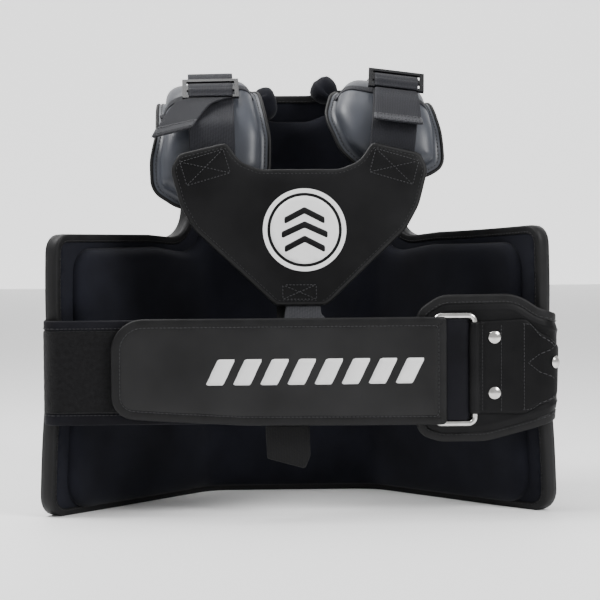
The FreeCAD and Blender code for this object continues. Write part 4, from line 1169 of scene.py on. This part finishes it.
tab = slab("ring_tab_soft", tab_edge, patch_at, lambda u, v, d: tab_face(u, v),
           lambda u, v, d: PATCH_TOP - 0.4 + 0 * u, step=2.6, rims=(0.6, 1.6))
finish(tab, PU, "pu_black", replaces=["ring_tab"])
TAB_SEAMS = [[(RING_U + 8.5, TAB_LOW + 2), (RING_U + 8.5, TAB_HIGH - 2)],
             [(RING_U + 28, TAB_LOW + 2), (RING_U + 28, TAB_HIGH - 1)],
             [(RING_U + 52, TAB_LOW + 3), (RING_U + 52, TAB_HIGH - 2)],
             [(RING_U + 50, TAB_LOW + 3), (120, TAB_LOW + 4), (138, 124)],
             [(RING_U + 50, TAB_HIGH - 2), (118, TAB_HIGH - 3), (139, 172)],
             [(139, 176), (RING_U + 56, 158), (138, 140)]]
for k, line in enumerate(TAB_SEAMS):
    row = stitches(f"ring_tab_row_{k}", resample(np.array(line, float), 2.0), patch_at,
                   lambda u, v: tab_face(u, v) + 0.1, length=2.6, gap=1.0)
    finish(row, THREAD_GREY, "pu_black")


def dome(name, u, v, base, radius, rise, replaces=()):
    """A domed rivet head with a rolled rim, turned about the patch's normal."""
    profile = [(0.0, rise), (0.35, rise * 0.97), (0.62, rise * 0.84), (0.8, rise * 0.62), (0.86, rise * 0.5),
               (0.93, rise * 0.48), (1.0, rise * 0.3), (1.0, 0.0), (0.9, -0.3)]
    around = 40
    verts, flat = [], []
    for share, high in profile:
        for k in range(around):
            angle = math.tau * k / around
            reach = share * radius
            verts.append((u + reach * math.cos(angle), v + reach * math.sin(angle), base + high))
            flat.append((reach, angle, high))
    verts = np.array(verts)
    middle = patch_at(np.array([u, u + 0.5]), np.array([v, v]), np.array([base, base]))
    run = (middle[1] - middle[0]) / np.linalg.norm(middle[1] - middle[0])
    out = (patch_at(np.array([u]), np.array([v]), np.array([base + 1.0])) - middle[:1])[0]
    points = (middle[0] + (verts[:, :1] - u) * run + (verts[:, 1:2] - v) * np.array([0, 0, 1.0])
              + (verts[:, 2:] - base) * out)
    faces = ring_faces(len(profile), around)
    faces.append(tuple((len(profile) - 1) * around + k for k in range(around)))
    piece = mesh_object(name, points, faces, flat)
    work = bmesh.new()
    work.from_mesh(piece.data)
    bmesh.ops.remove_doubles(work, verts=work.verts, dist=1e-6)
    work.to_mesh(piece.data)
    work.free()
    return finish(outward(piece), NICKEL, "nickel", replaces=replaces)


for k, (u, v) in enumerate(((80.0, 185.0), (80.0, 127.0), (138.0, 158.0))):
    base = tab_face(np.array([u]), np.array([v]))[0]
    dome(f"rivet_{k}", u, v, base, 6.6, 3.0, ["rivets", "rivet_washers"] if k == 0 else ())

paint("steel_ring", NICKEL)

# --------------------------------------------------------------------------- lower webbing
LOWER_X = -13.0
LOWER_BEND = Bend((22.3, 246), [(-98.1, 33), (-130, 21.2), (-90, 101)], 8)


def lower_at(u, v, h):
    """The lower strap: u across, v down from behind the yoke's tip, h towards the chest."""
    spot = LOWER_BEND.at(np.asarray(v, float), np.asarray(h, float) + 0 * np.asarray(u, float))
    drift = 13.0 * np.clip(1 - (v - 46) / 50.0, 0, 1)
    return np.stack([u + LOWER_X + drift, spot[:, 0], spot[:, 1]], 1)


edge = box_outline(-23, 0, 23, LOWER_BEND.length - 1, 1)
piece = slab("lower_strap", edge, lower_at, lambda u, v, d: 0.9 + 0.9 * crown(d, 1.2), lambda u, v, d: 0 * u,
             step=4.0, rims=(0.5, 1.4))
# the lower strap takes the darker webbing: painted shade
finish(piece, SHADED_WEBBING, "webbing", replaces=["lower_webbing"])
# its other end is folded back below the yoke's tip
edge = rounded_outline([(-25, -18, 1), (26, -13, 1), (18, -5, 2), (17, 8, 1), (-18, 8, 1),
                        (-21, -10, 1.5)], 2.5)
# the fold takes the hem's lighter webbing: coated backing with a painted highlight
laid("lower_strap_fold", edge, lambda u, v, h: np.stack([u + 5.0, 11.0 - 0.35 * (8 - v) - h, v + 215.0], 1),
     lambda u, v: 0.0 * u, 2.0, HEM_AND_HIGHLIGHT, "webbing", step=3.0)


def low_tail_at(u, v, h):
    """The hanging tail: u across, v down from the belt's lower edge."""
    curl = 0.0009 * v ** 2
    return np.stack([u + LOWER_X - 0.04 * v, 5.0 - h - curl + 0.0 * u, 94.0 - v], 1)


low_edge = rounded_outline([(-23, 0, 1), (23, 0, 1), (25, 31, 2), (20, 45, 1.5), (-20, 34, 1.5)], 3.0)
low_tail = slab("lower_tail_strap", low_edge, low_tail_at, lambda u, v, d: 0.9 + 0.9 * crown(d, 1.2),
                lambda u, v, d: 0 * u, step=3.5, rims=(0.5, 1.4))
# the hanging tail takes the darker webbing too: painted shade
finish(low_tail, SHADED_WEBBING, "webbing", "lower_tail", ["lower_webbing_tail"])

# ------------------------------------------------------------------------ floor and light
floor_mesh = bpy.data.meshes.new("floor")
floor_mesh.from_pydata([(-6, -6, 0), (6, -6, 0), (6, 6, 0), (-6, 6, 0)], [], [(0, 1, 2, 3)])
floor = bpy.data.objects.new("floor", floor_mesh)
bpy.context.scene.collection.objects.link(floor)
floor_mat, _, _ = material("PaleFloor", (0.93, 0.93, 0.93), 0.6)
floor.data.materials.append(floor_mat)

backdrop_mesh = bpy.data.meshes.new("backdrop")
backdrop_mesh.from_pydata([(-6, 5, -0.5), (6, 5, -0.5), (6, 5, 5), (-6, 5, 5)], [], [(0, 1, 2, 3)])
backdrop = bpy.data.objects.new("backdrop", backdrop_mesh)
bpy.context.scene.collection.objects.link(backdrop)
backdrop_mat, _, backdrop_shader = material("PaleBackdrop", (0.9, 0.9, 0.9), 0.8)
backdrop_shader.inputs["Emission Color"].default_value = (1, 1, 1, 1)
backdrop_shader.inputs["Emission Strength"].default_value = 1.2
backdrop.data.materials.append(backdrop_mat)

world = bpy.data.worlds.new("Studio")
world.use_nodes = True
world.node_tree.nodes["Background"].inputs[0].default_value = (1, 1, 1, 1)
world.node_tree.nodes["Background"].inputs[1].default_value = 0.6
bpy.context.scene.world = world


def softbox(name, place, target, power, size):
    lamp = bpy.data.lights.new(name, "AREA")
    lamp.shape, lamp.size, lamp.size_y, lamp.energy = "RECTANGLE", size[0], size[1], power
    rig = bpy.data.objects.new(name, lamp)
    rig.location = place
    rig.rotation_euler = (Vector(target) - Vector(place)).to_track_quat("-Z", "Y").to_euler()
    bpy.context.scene.collection.objects.link(rig)
    return rig


middle = (Vector(cad_box[0]) + Vector(cad_box[1])) / 2
softbox("key", (1.2, -1.0, 1.3), middle, 30, (0.7, 0.7))
softbox("upper_left", (-0.9, -0.1, 1.6), middle, 34, (0.7, 0.7))
softbox("top", (-0.3, 0.5, 1.9), middle, 16, (1.0, 0.8))

# ---------------------------------------------------------------------------------- camera
camera_data = bpy.data.cameras.new("camera")
camera = bpy.data.objects.new("camera", camera_data)
bpy.context.scene.collection.objects.link(camera)
bpy.context.scene.camera = camera
EYE, AIM, ROLL = Vector((-0.108, -2.39, 0.345)), Vector((-0.0008, -0.06, 0.222)), math.radians(-0.35)
camera.location = EYE
aimed = (AIM - EYE).to_track_quat("-Z", "Y")
camera.rotation_euler = (aimed @ Euler((0, 0, ROLL)).to_quaternion()).to_euler()
camera_data.lens = 132.0
camera_data.sensor_width = 36.0
